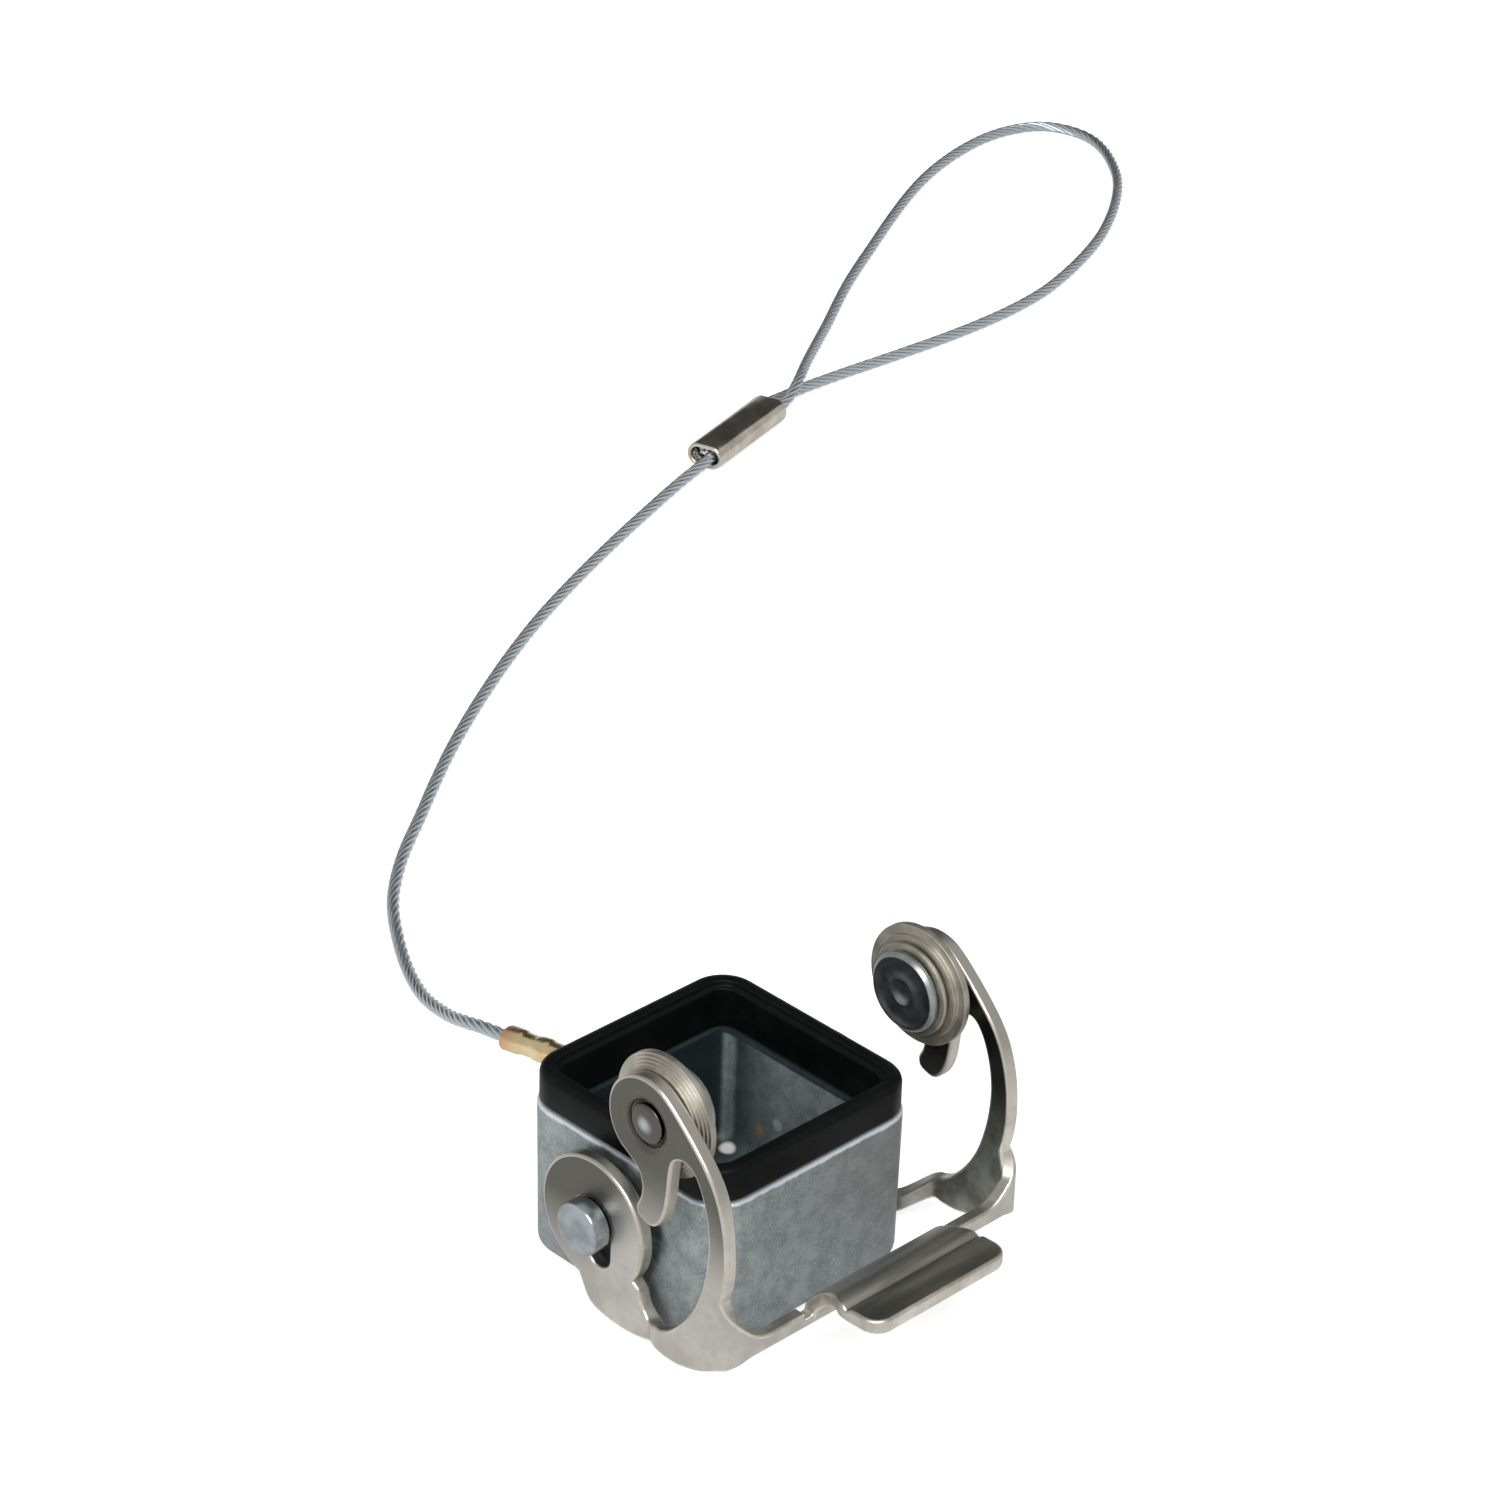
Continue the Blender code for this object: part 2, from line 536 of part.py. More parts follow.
def rope_route(barrel_end):
    """Out of the terminal, down to the ground, through the ferrule, round the loop and back."""
    start, forward, left, height = ferrule_frame()
    spread = (ROPE_DIAMETER + STRAND_GAP) / 2
    low = ROPE_DIAMETER / 2 + GROUND_GAP

    def in_ferrule(along, side):
        spot = start + forward * along + left * side * spread
        return (spot[0], spot[1], height)

    out = [(0, y, TERMINAL_HEIGHT - droop(y)) for y in (barrel_end - BARREL_SOCKET + CLEAR, barrel_end + 0.4)]
    out += [(0.2, 34.6, 8.3), (1.1, 38.8, 6.7), (2.7, 43.0, 4.9), (5.4, 49.2, 2.7), (9.1, 56.0, 1.2),
           (13.2, 62.5, low), (17.6, 68.3, low), (23.7, 74.0, low), (31.1, 79.5, low),
           (43.2, 88.3, low), (57.0, 97.0, low), (72.3, 105.3, low), (88.5, 112.4, low),
           (101.0, 117.2, low + 0.05), (109.2, 119.9, 1.1)]
    through = [in_ferrule(along, -1) for along in (-0.4, FERRULE_LENGTH / 2, FERRULE_LENGTH + 0.4)]
    loop = [(136.0, 127.4, 2.2), (139.9, 129.7, 2.65), (145.2, 133.6, 2.0), (156.4, 141.3, 0.85),
            (167.5, 148.6, low), (178.4, 154.9, low), (194.5, 163.8, low), (207.3, 169.3, low),
            (220.2, 171.9, low), (229.0, 169.4, low), (230.9, 161.8, low), (226.1, 153.0, low),
            (218.3, 145.2, low), (204.9, 136.6, low), (187.5, 130.0, low), (172.6, 128.2, low),
            (158.3, 128.6, low), (148.4, 129.3, low), (141.0, 129.5, low + 0.1), (136.0, 128.9, 1.2)]
    back = [in_ferrule(along, 1) for along in (FERRULE_LENGTH + 0.4, FERRULE_LENGTH / 2, 1.0)]
    return out + through + loop + back


def lanyard_rope(wire, barrel_end):
    points = smooth_line(rope_route(barrel_end), 2)
    for point in points:
        point.z = max(point.z, ROPE_DIAMETER / 2 + GROUND_GAP)
    curve = bpy.data.curves.new("lanyard_rope", "CURVE")
    curve.dimensions = "3D"
    curve.bevel_depth = ROPE_DIAMETER / 2 * MM
    curve.bevel_resolution = 2
    curve.use_fill_caps = True
    spline = curve.splines.new("POLY")
    spline.points.add(len(points) - 1)
    for target, point in zip(spline.points, points):
        target.co = (*(point * MM), 1)
    curve.materials.append(wire)
    made = bpy.data.objects.new("lanyard_rope", curve)
    bpy.context.scene.collection.objects.link(made)


def build():
    clear_scene()
    casting = material("grey_casting", (0.27, 0.31, 0.32), 0.5, 0.3)
    rubber = material("black_rubber", (0.012, 0.013, 0.014), 0.45, 0.0)
    zinc = material("zinc_steel", (0.55, 0.6, 0.64), 0.3, 1.0)
    nickel = material("nickel_steel", (0.6, 0.56, 0.52), 0.32, 1.0)
    brass = material("brass", (0.8, 0.6, 0.25), 0.28, 1.0)
    wire = material("wire_rope", (0.6, 0.63, 0.66), 0.38, 1.0)
    cup_housing(casting)
    rim_gasket(rubber)
    pivot_studs(zinc)
    locking_lever(nickel)
    guide_rollers(nickel, zinc)
    barrel_end = rope_terminal(brass)
    rope_ferrule(nickel)
    lanyard_rope(wire, barrel_end)


build()
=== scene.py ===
# Looks for a protective cover of a small square connector: painted die-cast cup, rubber rim
# gasket, bent spring-steel locking lever with guide rollers, and a wire rope lanyard.
# Sizes in the dictionaries are millimetres; X is the lever's pivot axis, -Y the grip side.
from math import cos, pi, radians, sin, tau

import bmesh
import bpy
from mathutils import Matrix, Vector


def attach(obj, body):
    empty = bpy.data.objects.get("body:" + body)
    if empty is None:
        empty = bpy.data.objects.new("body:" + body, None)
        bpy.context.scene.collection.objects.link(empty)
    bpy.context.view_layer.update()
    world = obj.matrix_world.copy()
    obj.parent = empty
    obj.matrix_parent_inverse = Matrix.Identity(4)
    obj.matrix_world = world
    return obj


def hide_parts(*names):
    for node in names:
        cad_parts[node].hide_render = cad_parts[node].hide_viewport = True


mm = 0.001
white = (1.0, 1.0, 1.0)
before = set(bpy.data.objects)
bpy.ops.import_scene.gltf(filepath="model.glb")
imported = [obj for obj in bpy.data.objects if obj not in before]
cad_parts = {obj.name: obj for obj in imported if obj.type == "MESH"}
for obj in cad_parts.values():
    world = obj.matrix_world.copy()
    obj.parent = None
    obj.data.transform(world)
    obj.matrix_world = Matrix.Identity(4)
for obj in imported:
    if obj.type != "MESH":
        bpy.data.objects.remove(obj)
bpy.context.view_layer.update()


# a mesh, lamp or camera goes into the scene as an object
def newObject(name, data):
    made = bpy.data.objects.new(name, data)
    bpy.context.scene.collection.objects.link(made)
    return made


# ---- camera ----

viewpoint = {
    "place": (-0.28010, -0.28133, 0.28133),
    "heading": 45.13,       # degrees from +Y towards +X
    "down": 29.67,
    "roll": -1.84,
    "lens": 120.0, "sensor": 36.0,
}


def aimCamera(spec):
    heading, down, roll = (radians(spec[key]) for key in ("heading", "down", "roll"))
    ahead = Vector((sin(heading) * cos(down), cos(heading) * cos(down), -sin(down)))
    right = ahead.cross(Vector((0, 0, 1))).normalized()
    up = right.cross(ahead)
    across = cos(roll) * right - sin(roll) * up
    upward = sin(roll) * right + cos(roll) * up
    lens = bpy.data.cameras.new("studioCamera")
    lens.lens = spec["lens"]
    lens.sensor_width = spec["sensor"]
    lens.clip_start, lens.clip_end = 0.01, 20
    camera = newObject("studioCamera", lens)
    turn = Matrix((across, upward, -ahead)).transposed().to_4x4()
    camera.matrix_world = Matrix.Translation(spec["place"]) @ turn
    bpy.context.scene.camera = camera


aimCamera(viewpoint)
print("camera aimed")


# ---- shader maths ----

# a socket that Python expressions can use
class Signal:
    def __init__(self, graph, socket):
        self.graph, self.socket = graph, socket

    def __add__(self, other):
        return self.graph.maths("ADD", self, other)

    def __radd__(self, other):
        return self.graph.maths("ADD", other, self)

    def __sub__(self, other):
        return self.graph.maths("SUBTRACT", self, other)

    def __rsub__(self, other):
        return self.graph.maths("SUBTRACT", other, self)

    def __mul__(self, other):
        return self.graph.maths("MULTIPLY", self, other)

    def __rmul__(self, other):
        return self.graph.maths("MULTIPLY", other, self)

    def __pow__(self, other):
        return self.graph.maths("POWER", self, other)


# the nodes of one material or of the world
class Graph:
    def __init__(self, tree):
        self.tree = tree

    def feed(self, socket, value):
        if isinstance(value, Signal):
            self.tree.links.new(value.socket, socket)
        elif isinstance(value, tuple) and socket.type == "RGBA":
            socket.default_value = (*value, 1.0)
        else:
            socket.default_value = value

    def node(self, kind, settings, values, out=0):
        made = self.tree.nodes.new(kind)
        for key, value in settings.items():
            setattr(made, key, value)
        for key, value in values.items():
            self.feed(made.inputs[key], value)
        return Signal(self, made.outputs[out])

    def maths(self, operation, *values):
        return self.node("ShaderNodeMath", {"operation": operation}, dict(enumerate(values)))


# one material: its Principled shader, and what feeds it
class Finish(Graph):
    def __init__(self, name, fixed):
        self.material = bpy.data.materials.new(name)
        self.material.use_nodes = True
        super().__init__(self.material.node_tree)
        self.shader = self.tree.nodes["Principled BSDF"]
        for socket, value in fixed.items():
            self.feed(self.shader.inputs[socket], value)
        self.place = self.node("ShaderNodeTexCoord", {}, {}, out="Object")

    def noise(self, size, detail=2.0, where=None, roughness=0.5):
        return self.node("ShaderNodeTexNoise", {}, {
            "Vector": where or self.place, "Scale": 1 / (size * mm), "Detail": detail,
            "Roughness": roughness})

    # 0 below low, 1 above high, and smooth between them
    def band(self, signal, low, high):
        return self.node("ShaderNodeMapRange", {"interpolation_type": "SMOOTHSTEP"},
                         {0: signal, 1: low, 2: high})

    # the same for a distance, with its span in millimetres
    def across(self, distance, span):
        return self.band(distance, span[0] * mm, span[1] * mm)

    def blend(self, mask, first, second):
        return self.node("ShaderNodeMix", {"data_type": "RGBA"},
                         {0: mask, 6: first, 7: second}, out=2)

    def shifted(self, centre=(0, 0, 0), stretch=(1, 1, 1)):
        back = tuple(-c * mm * s for c, s in zip(centre, stretch))
        return self.node("ShaderNodeMapping", {}, {
            "Vector": self.place, "Location": back, "Scale": stretch})

    def axes(self, where):
        made = self.node("ShaderNodeSeparateXYZ", {}, {0: where})
        return [Signal(self, s) for s in made.socket.node.outputs]

    # distance from an X axis through centre, in millimetres
    def reach(self, centre):
        _, y, z = self.axes(self.shifted(centre))
        return self.maths("SQRT", y * y + z * z) * (1 / mm)

    # 1 in a ball about centre, fading to 0 at its edge
    def spot(self, centre, radius):
        x, y, z = self.axes(self.shifted(centre))
        square = (x * x + y * y + z * z) * (1 / mm / mm)
        return 1 - self.band(square, (radius * 0.6) ** 2, radius ** 2)

    def paint(self, **signals):
        names = {"colour": "Base Color", "rough": "Roughness", "metal": "Metallic"}
        for key, signal in signals.items():
            self.feed(self.shader.inputs[names[key]], signal)

    # bumps given as (height signal, depth in millimetres), laid over one another
    def relief(self, *bumps):
        normal = None
        for height, depth in bumps:
            values = {"Height": height, "Distance": depth * mm}
            if normal:
                values["Normal"] = normal
            normal = self.node("ShaderNodeBump", {}, values)
        self.feed(self.shader.inputs["Normal"], normal)


# ---- finishes ----

paint = {
    "shade": (0.195, 0.222, 0.226), "pale": (0.33, 0.365, 0.37), "fleck": (0.52, 0.56, 0.57),
    # the rim's tone below is partly a painted highlight; the two tones after it are painted shade
    "wornAndGlint": (0.85, 0.92, 1.0), "frontShade": (0.11, 0.115, 0.105), "shadowTone": (0.0, 0.010, 0.012),
    "grain": 0.28, "mottle": 1.6,
    # spans over which each mask sets in
    "front": (12.6, 13.4), "frontShading": (0, 24), "side": (13.3, 13.4),
    "rim": (16.18, 16.48), "rimFace": (11.8, 12.2),
    "ledge": (14.7, 15.0), "ledgeEnd": (11.6, 12.1),
    "cavityEnd": (10.8, 11.0), "farWallShade": (0, 10.6),
    "corner": (19.0, 20.0), "cornerSide": (-0.3, 0.6),
    "pivot": 10.4, "bossShadowEnd": (5.2, 7.4),
    # small marks in the cavity: centre, radius, colour; the white one is a painted glint on the
    # floor fillet, the other two are small brown and bluish marks
    "spots": [((9.8, 8.5, 1.9), 1.25, white),
              ((10.75, 5.1, 5.9), 0.7, (0.26, 0.20, 0.11)),
              ((10.75, 2.7, 7.7), 0.75, (0.36, 0.42, 0.47))],
}


def castingPaint(spec):
    made = Finish("greyPaint", {"IOR": 1.48})
    grain = made.noise(spec["grain"], 3.0, roughness=0.65)
    mottle = made.noise(spec["mottle"], 3.0)
    flecks = made.band(made.noise(spec["grain"] * 0.8, 1.0, made.shifted((31, 17, 5))), 0.6, 0.74)
    cloud = made.band(grain * 0.5 + mottle * 0.5, 0.36, 0.64)
    colour = made.blend(cloud, spec["shade"], spec["pale"])
    colour = made.blend(flecks * 0.45, colour, spec["fleck"])
    x, y, z = made.axes(made.place)
    sideways = made.maths("ABSOLUTE", x)
    wide = made.maths("MAXIMUM", sideways, made.maths("ABSOLUTE", y))
    # painted shade: the front darkens towards its upper right, where less light falls
    frontShading = made.across(x + z * 0.8, spec["frontShading"]) * made.across(0 - y, spec["front"])
    colour = made.blend(frontShading * 0.6, colour, spec["frontShade"])
    # the rim is worn through, and its bluish-white tone is also a painted highlight along the edge
    rim = made.across(z + (mottle - 0.5) * (0.5 * mm), spec["rim"])
    rim = rim * made.across(wide, spec["rimFace"])
    colour = made.blend(rim * 0.8, colour, spec["wornAndGlint"])
    # painted shadow round the bosses, behind the lobes, in the dark shade tone
    boss = 1 - made.band(made.reach((0, 0, spec["pivot"])) + (mottle - 0.5) * 1.5, *spec["bossShadowEnd"])
    colour = made.blend(boss * 0.92 * made.across(sideways, spec["side"]), colour, spec["shadowTone"])
    # painted shade in the cavity, deepest on the far wall, lifted by a painted highlight in the
    # corner, and painted shade on the ledge under the gasket
    corner = made.across(x + y, spec["corner"]) * made.across(x - y, spec["cornerSide"])
    cavityShade = 0.16 + 0.8 * made.across(y, spec["farWallShade"]) - corner * 0.55
    inside = 1 - made.across(wide, spec["cavityEnd"])
    ledge = made.across(z, spec["ledge"]) * (1 - made.across(wide, spec["ledgeEnd"]))
    colour = made.blend(made.maths("MAXIMUM", inside * cavityShade, ledge * 0.9), colour, spec["shadowTone"])
    # marks laid on the paint; the white one is a painted glint
    for centre, radius, spotColour in spec["spots"]:
        colour = made.blend(made.spot(centre, radius) * 0.9, colour, spotColour)
    made.paint(colour=colour, metal=rim * 0.5 + flecks * 0.15,
               rough=0.5 + (grain - 0.5) * 0.25 - rim * 0.15)
    made.relief((mottle, 0.05), (grain, 0.022))
    return made.material


rubber = {"black": (0.003, 0.0038, 0.0035), "dusty": (0.010, 0.013, 0.013),
          "grain": 0.12, "patch": 3.0}


def mouldedRubber(spec):
    made = Finish("blackRubber", {"IOR": 1.5, "Specular IOR Level": 0.13})
    grain = made.noise(spec["grain"], 2.0)
    patch = made.noise(spec["patch"], 4.0, roughness=0.6)
    made.paint(colour=made.blend(made.band(patch, 0.45, 0.8) * 0.6, spec["black"], spec["dusty"]),
               rough=0.42 + (patch - 0.5) * 0.2 + (grain - 0.5) * 0.12)
    made.relief((patch, 0.02), (grain, 0.004))
    return made.material


plates = {
    "nickelPlate": {"light": (0.67, 0.645, 0.61), "dark": (0.54, 0.51, 0.465),
                    "rough": 0.38, "grain": 0.5},
    # a lighter copy of the plate for the sheet's edges: painted highlight, partly edge wear
    "nickelLitEdge": {"light": (0.80, 0.77, 0.70), "dark": (0.55, 0.51, 0.44),
                   "rough": 0.34, "grain": 0.4},
    # a darker copy of the plate for the sheet's back faces: painted shade
    "nickelShadedBack": {"light": (0.56, 0.55, 0.50), "dark": (0.24, 0.235, 0.20),
                   "rough": 0.34, "grain": 0.4, "streak": (0.12, 1, 1)},
    "rollerPlate": {"light": (0.60, 0.57, 0.50), "dark": (0.40, 0.375, 0.32),
                    "rough": 0.5, "grain": 0.5},
    "zincPlate": {"light": (0.48, 0.53, 0.56), "dark": (0.33, 0.37, 0.39),
                  "rough": 0.27, "grain": 0.35},
    "rivetPlate": {"light": (0.42, 0.46, 0.455), "dark": (0.28, 0.31, 0.305),
                   "rough": 0.33, "grain": 0.35, "tail": (0.14, 0.13, 0.115),
                   "tailFrom": (17.6, 17.9), "eyeGlint": (0.5, 0.56, 0.57), "eyeGlintEnd": (0.5, 1.4)},
    "ferrulePlate": {"light": (0.92, 0.87, 0.78), "dark": (0.62, 0.55, 0.46),
                     "rough": 0.2, "grain": 0.6},
}


# how the lever's painted shade climbs with height: it wanders, and on the lobes it has a start
climb = {"wander": 5, "lobes": (-9, 2), "start": 11}


# tumbled plate: faint rolling lines along one way, soft clouds and a scatter of small dents;
# where two heights and a shade are given, painted shade sets in between them, darker upward,
# standing in for the dark surroundings that the sheet reflects
def platedSheet(name, spec, heightShade=None, stretch=(1, 0.12, 1)):
    made = Finish(name, {"IOR": 1.5})
    rolled = made.noise(spec["grain"] * 0.3, 2.0, made.shifted(stretch=stretch))
    streak = made.shifted(stretch=spec.get("streak", (1, 1, 1)))
    cloud = made.noise(spec["grain"] * 7, 4.0, streak, roughness=0.6)
    dents = made.band(made.noise(spec["grain"] * 1.6, 1.0, made.shifted((9, 4, 7))), 0.64, 0.8)
    colour = made.blend(made.band(cloud, 0.3, 0.7), spec["dark"], spec["light"])
    # painted shade: the sheet darkens with height
    if heightShade:
        _, y, z = made.axes(made.place)
        wander = (cloud - 0.5) * (climb["wander"] * mm)
        height = z + wander + made.across(y, climb["lobes"]) * (climb["start"] * mm)
        colour = made.blend(made.across(height, heightShade[:2]), colour, heightShade[2])
    made.paint(colour=colour, metal=1.0,
               rough=spec["rough"] + (cloud - 0.5) * 0.14 + (rolled - 0.5) * 0.1 + dents * 0.06)
    made.relief((cloud, 0.02), (rolled, 0.0022), (1 - dents, 0.008))
    return made.material


# the same plate on turned parts, with the tool's rings about the part's axis;
# a rivet's tail, out beyond the lever, gets painted shade and a painted glint at its centre
def turnedPlate(name, spec, centre, pitch=0.22, depth=0.0025):
    made = Finish(name, {"IOR": 1.5})
    reach = made.reach(centre)
    wander = made.noise(spec["grain"] * 5, 3.0)
    rings = made.maths("SINE", (reach + wander * 0.05) * (tau / pitch))
    colour = made.blend(made.band(wander, 0.3, 0.7), spec["dark"], spec["light"])
    # painted shade on the rivet's tail, with a painted glint at its centre
    if "tail" in spec:
        sideways = made.maths("ABSOLUTE", made.axes(made.place)[0])
        outside = made.band(reach + wander * 0.6, *spec["eyeGlintEnd"])
        tail = made.blend(outside, spec["eyeGlint"], spec["tail"])
        colour = made.blend(made.across(sideways, spec["tailFrom"]), colour, tail)
    made.paint(colour=colour, metal=1.0, rough=spec["rough"] + (wander - 0.5) * 0.16 + rings * 0.02)
    made.relief((wander, 0.015), (rings * 0.5 + 0.5, depth))
    return made.material


brassTube = {"light": (1.0, 0.82, 0.48), "dark": (0.86, 0.64, 0.33), "red": (0.72, 0.36, 0.2),
             "rough": 0.24, "mouth": (28.3, 30.6), "grain": 0.5}


def drawnBrass(spec):
    made = Finish("drawnBrass", {"IOR": 1.5})
    streak = made.noise(spec["grain"] * 0.4, 2.0, made.shifted(stretch=(1, 0.1, 1)))
    cloud = made.noise(spec["grain"] * 4, 3.0)
    _, y, _ = made.axes(made.place)
    mouth = made.across(y + cloud * (1.2 * mm), spec["mouth"])
    colour = made.blend(made.band(cloud, 0.3, 0.7), spec["dark"], spec["light"])
    made.paint(colour=made.blend(mouth * 0.7, colour, spec["red"]), metal=1.0,
               rough=spec["rough"] + (cloud - 0.5) * 0.2 + mouth * 0.1)
    made.relief((cloud, 0.02), (streak, 0.003))
    return made.material


wire = {"light": (0.74, 0.80, 0.84), "dark": (0.38, 0.43, 0.46), "rough": 0.32, "cloud": 1.6,
        "wires": 6, "turns": 150}


# fine wires run round each strand, along its own UV map
def galvanisedWire(spec):
    made = Finish("galvanisedWire", {"IOR": 1.5})
    along, aroundIt, _ = made.axes(made.node("ShaderNodeUVMap", {"uv_map": "UVMap"}, {}))
    phase = (aroundIt * spec["wires"] + along * spec["turns"]) * pi
    wave = made.maths("ABSOLUTE", made.maths("SINE", phase))
    cloud = made.noise(spec["cloud"], 3.0)
    colour = made.blend(made.band(wave, 0.0, 0.55), spec["dark"], spec["light"])
    made.paint(colour=colour, metal=1.0, rough=spec["rough"] + (cloud - 0.5) * 0.2)
    made.relief((wave ** 0.5, 0.02))
    return made.material


# ---- making pieces ----

def smoothLine(points, steps):
    line = [Vector(p) for p in points]
    ends = [2 * line[0] - line[1]] + line + [2 * line[-1] - line[-2]]
    out = []
    for before, start, stop, after in zip(ends, ends[1:], ends[2:], ends[3:]):
        for k in range(steps):
            t = k / steps
            out.append(0.5 * (2 * start + (stop - before) * t
                              + (2 * before - 5 * start + 4 * stop - after) * t ** 2
                              + (3 * start - before - 3 * stop + after) * t ** 3))
    return out + [line[-1]]


# a bmesh becomes a mesh in metres; its own unit is the millimetre, unless another is given
def toMesh(name, bm, unit=mm):
    bmesh.ops.scale(bm, vec=(unit, unit, unit), verts=bm.verts)
    mesh = bpy.data.meshes.new(name)
    bm.to_mesh(mesh)
    bm.free()
    return mesh


crease = radians(38)        # faces that meet at more than this have a sharp edge between them


# the shape becomes one piece that rides on its body
def addPiece(name, bm, material, body, node):
    mesh = toMesh(name, bm)
    mesh.shade_smooth()
    mesh.set_sharp_from_angle(angle=crease)
    mesh.materials.append(material)
    return settle(newObject(name, mesh), body, node)


def settle(piece, body, node):
    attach(piece, body)
    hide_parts(node)
    return piece


def easeEdges(piece, width, slot):
    ease = piece.modifiers.new("easedEdges", "BEVEL")
    ease.material = slot
    ease.width = width * mm
    ease.segments = 3
    ease.limit_method = "ANGLE"
    ease.angle_limit = radians(50)
    ease.use_clamp_overlap = False
    ease.harden_normals = True


def bakeModifiers(piece):
    graph = bpy.context.evaluated_depsgraph_get()
    final = bpy.data.meshes.new_from_object(piece.evaluated_get(graph))
    piece.modifiers.clear()
    piece.data = final


def roundEdges(bm, edges, width, segments):
    bmesh.ops.bevel(bm, geom=edges, offset=width, offset_type="OFFSET", segments=segments,
                    profile=0.5, affect="EDGES", material=-1)


# the edges where faces meet at more than an angle
def sharpEdges(bm, angle):
    return [e for e in bm.edges if e.is_manifold and e.calc_face_angle() > radians(angle)]


# pulls edges on, and gives the new vertices and edges
def pullEdges(bm, edges):
    made = bmesh.ops.extrude_edge_only(bm, edges=edges)["geom"]
    return [[item for item in made if isinstance(item, kind)]
            for kind in (bmesh.types.BMVert, bmesh.types.BMEdge)]


# a profile of (distance along the axis, radius), spun about an axis through centre
def spinProfile(profile, centre, axis, steps=96, ease=0.0):
    bm = bmesh.new()
    verts = [bm.verts.new((r, 0, a)) for a, r in profile]
    edges = [bm.edges.new(pair) for pair in zip(verts, verts[1:])]
    if profile[0][1] > 0:
        edges.append(bm.edges.new((verts[-1], verts[0])))
    bmesh.ops.spin(bm, geom=verts + edges, cent=(0, 0, 0), axis=(0, 0, 1), angle=tau,
                   steps=steps, use_merge=True)
    bmesh.ops.remove_doubles(bm, verts=bm.verts, dist=0.0005)
    bmesh.ops.recalc_face_normals(bm, faces=bm.faces)
    if ease:
        roundEdges(bm, sharpEdges(bm, 40), ease, 3)
    turn = Vector((0, 0, 1)).rotation_difference(Vector(axis)).to_matrix().to_4x4()
    bmesh.ops.transform(bm, matrix=Matrix.Translation(centre) @ turn, verts=bm.verts)
    return bm


# ---- lanyard rope ----

rope = {
    "diameter": 1.4, "ground": 0.75, "strands": 6, "lay": 9.0, "perLay": 14,
    "seat": 12.3, "bend": 14.8, "droop": 0.2, "mouth": 30.2,
    "fall": [(0.2, 34.6, 8.3), (1.1, 38.8, 6.7), (2.7, 43.0, 4.9), (5.4, 49.2, 2.7),
             (9.1, 56.0, 1.2), (13.2, 62.5, .75), (17.6, 68.3, .75), (23.7, 74.0, .75),
             (31.1, 79.5, .75), (43.2, 88.3, .75), (57.0, 97.0, .75), (72.3, 105.3, .75),
             (88.5, 112.4, .75), (101.0, 117.2, .8), (109.2, 119.9, 1.1)],
    "loop": [(136.0, 127.4, 2.2), (139.9, 129.7, 2.65), (145.2, 133.6, 2.0), (156.4, 141.3, .85),
             (167.5, 148.6, .75), (178.4, 154.9, .75), (194.5, 163.8, .75), (207.3, 169.3, .75),
             (220.2, 171.9, .75), (229.0, 169.4, .75), (230.9, 161.8, .75), (226.1, 153.0, .75),
             (218.3, 145.2, .75), (204.9, 136.6, .75), (187.5, 130.0, .75), (172.6, 128.2, .75),
             (158.3, 128.6, .75), (148.4, 129.3, .75), (141.0, 129.5, .85), (136.0, 128.9, 1.2)],
}
sleeve = {"start": (115.6, 122.4), "turn": 16.0, "length": 16.8, "height": 1.6, "spread": 0.95,
          "bore": 1.0, "outer": 1.55, "lip": 0.22}


# the height of the terminal's drooping neck and of the rope in it
def sunken(y):
    run = max(y - rope["bend"], 0)
    return rope["seat"] - rope["droop"] * run * min(run / 3, 1)


# a point of one of the two strands in the sleeve
def inSleeve(along, side):
    turn = radians(sleeve["turn"])
    x = sleeve["start"][0] + along * cos(turn) - side * sleeve["spread"] * sin(turn)
    y = sleeve["start"][1] + along * sin(turn) + side * sleeve["spread"] * cos(turn)
    return (x, y, sleeve["height"])


def ropeRoute(spec):
    length = sleeve["length"]
    points = [(0, y, sunken(y)) for y in (spec["mouth"] - 2.7, spec["mouth"] + 0.4)] + spec["fall"]
    points += [inSleeve(along, -1) for along in (-0.4, length / 2, length + 0.4)] + spec["loop"]
    points += [inSleeve(along, 1) for along in (length + 0.4, length / 2, 1.0)]
    line = smoothLine(points, 2)
    for point in line:
        point.z = max(point.z, spec["ground"])
    return line


# evenly spaced stations on the route, each with a direction and a side that doesn't twist
def ropeStations(line, gap):
    fine = smoothLine(line, 8)
    stations, walked, due = [], 0.0, 0.0
    for start, stop in zip(fine, fine[1:]):
        step = (stop - start).length
        while due <= walked + step:
            stations.append(start.lerp(stop, (due - walked) / step))
            due += gap
        walked += step
    side = Vector((1, 0, 0))
    framed = []
    for i, spot in enumerate(stations):
        ahead = (stations[min(i + 1, len(stations) - 1)] - stations[max(i - 1, 0)]).normalized()
        side = (side - ahead * side.dot(ahead)).normalized()
        framed.append((spot, side.copy(), ahead.cross(side)))
    return framed, walked


def weldSeams(mesh):
    bm = bmesh.new()
    bm.from_mesh(mesh)
    bmesh.ops.remove_doubles(bm, verts=bm.verts, dist=1e-6)
    bm.to_mesh(mesh)
    bm.free()


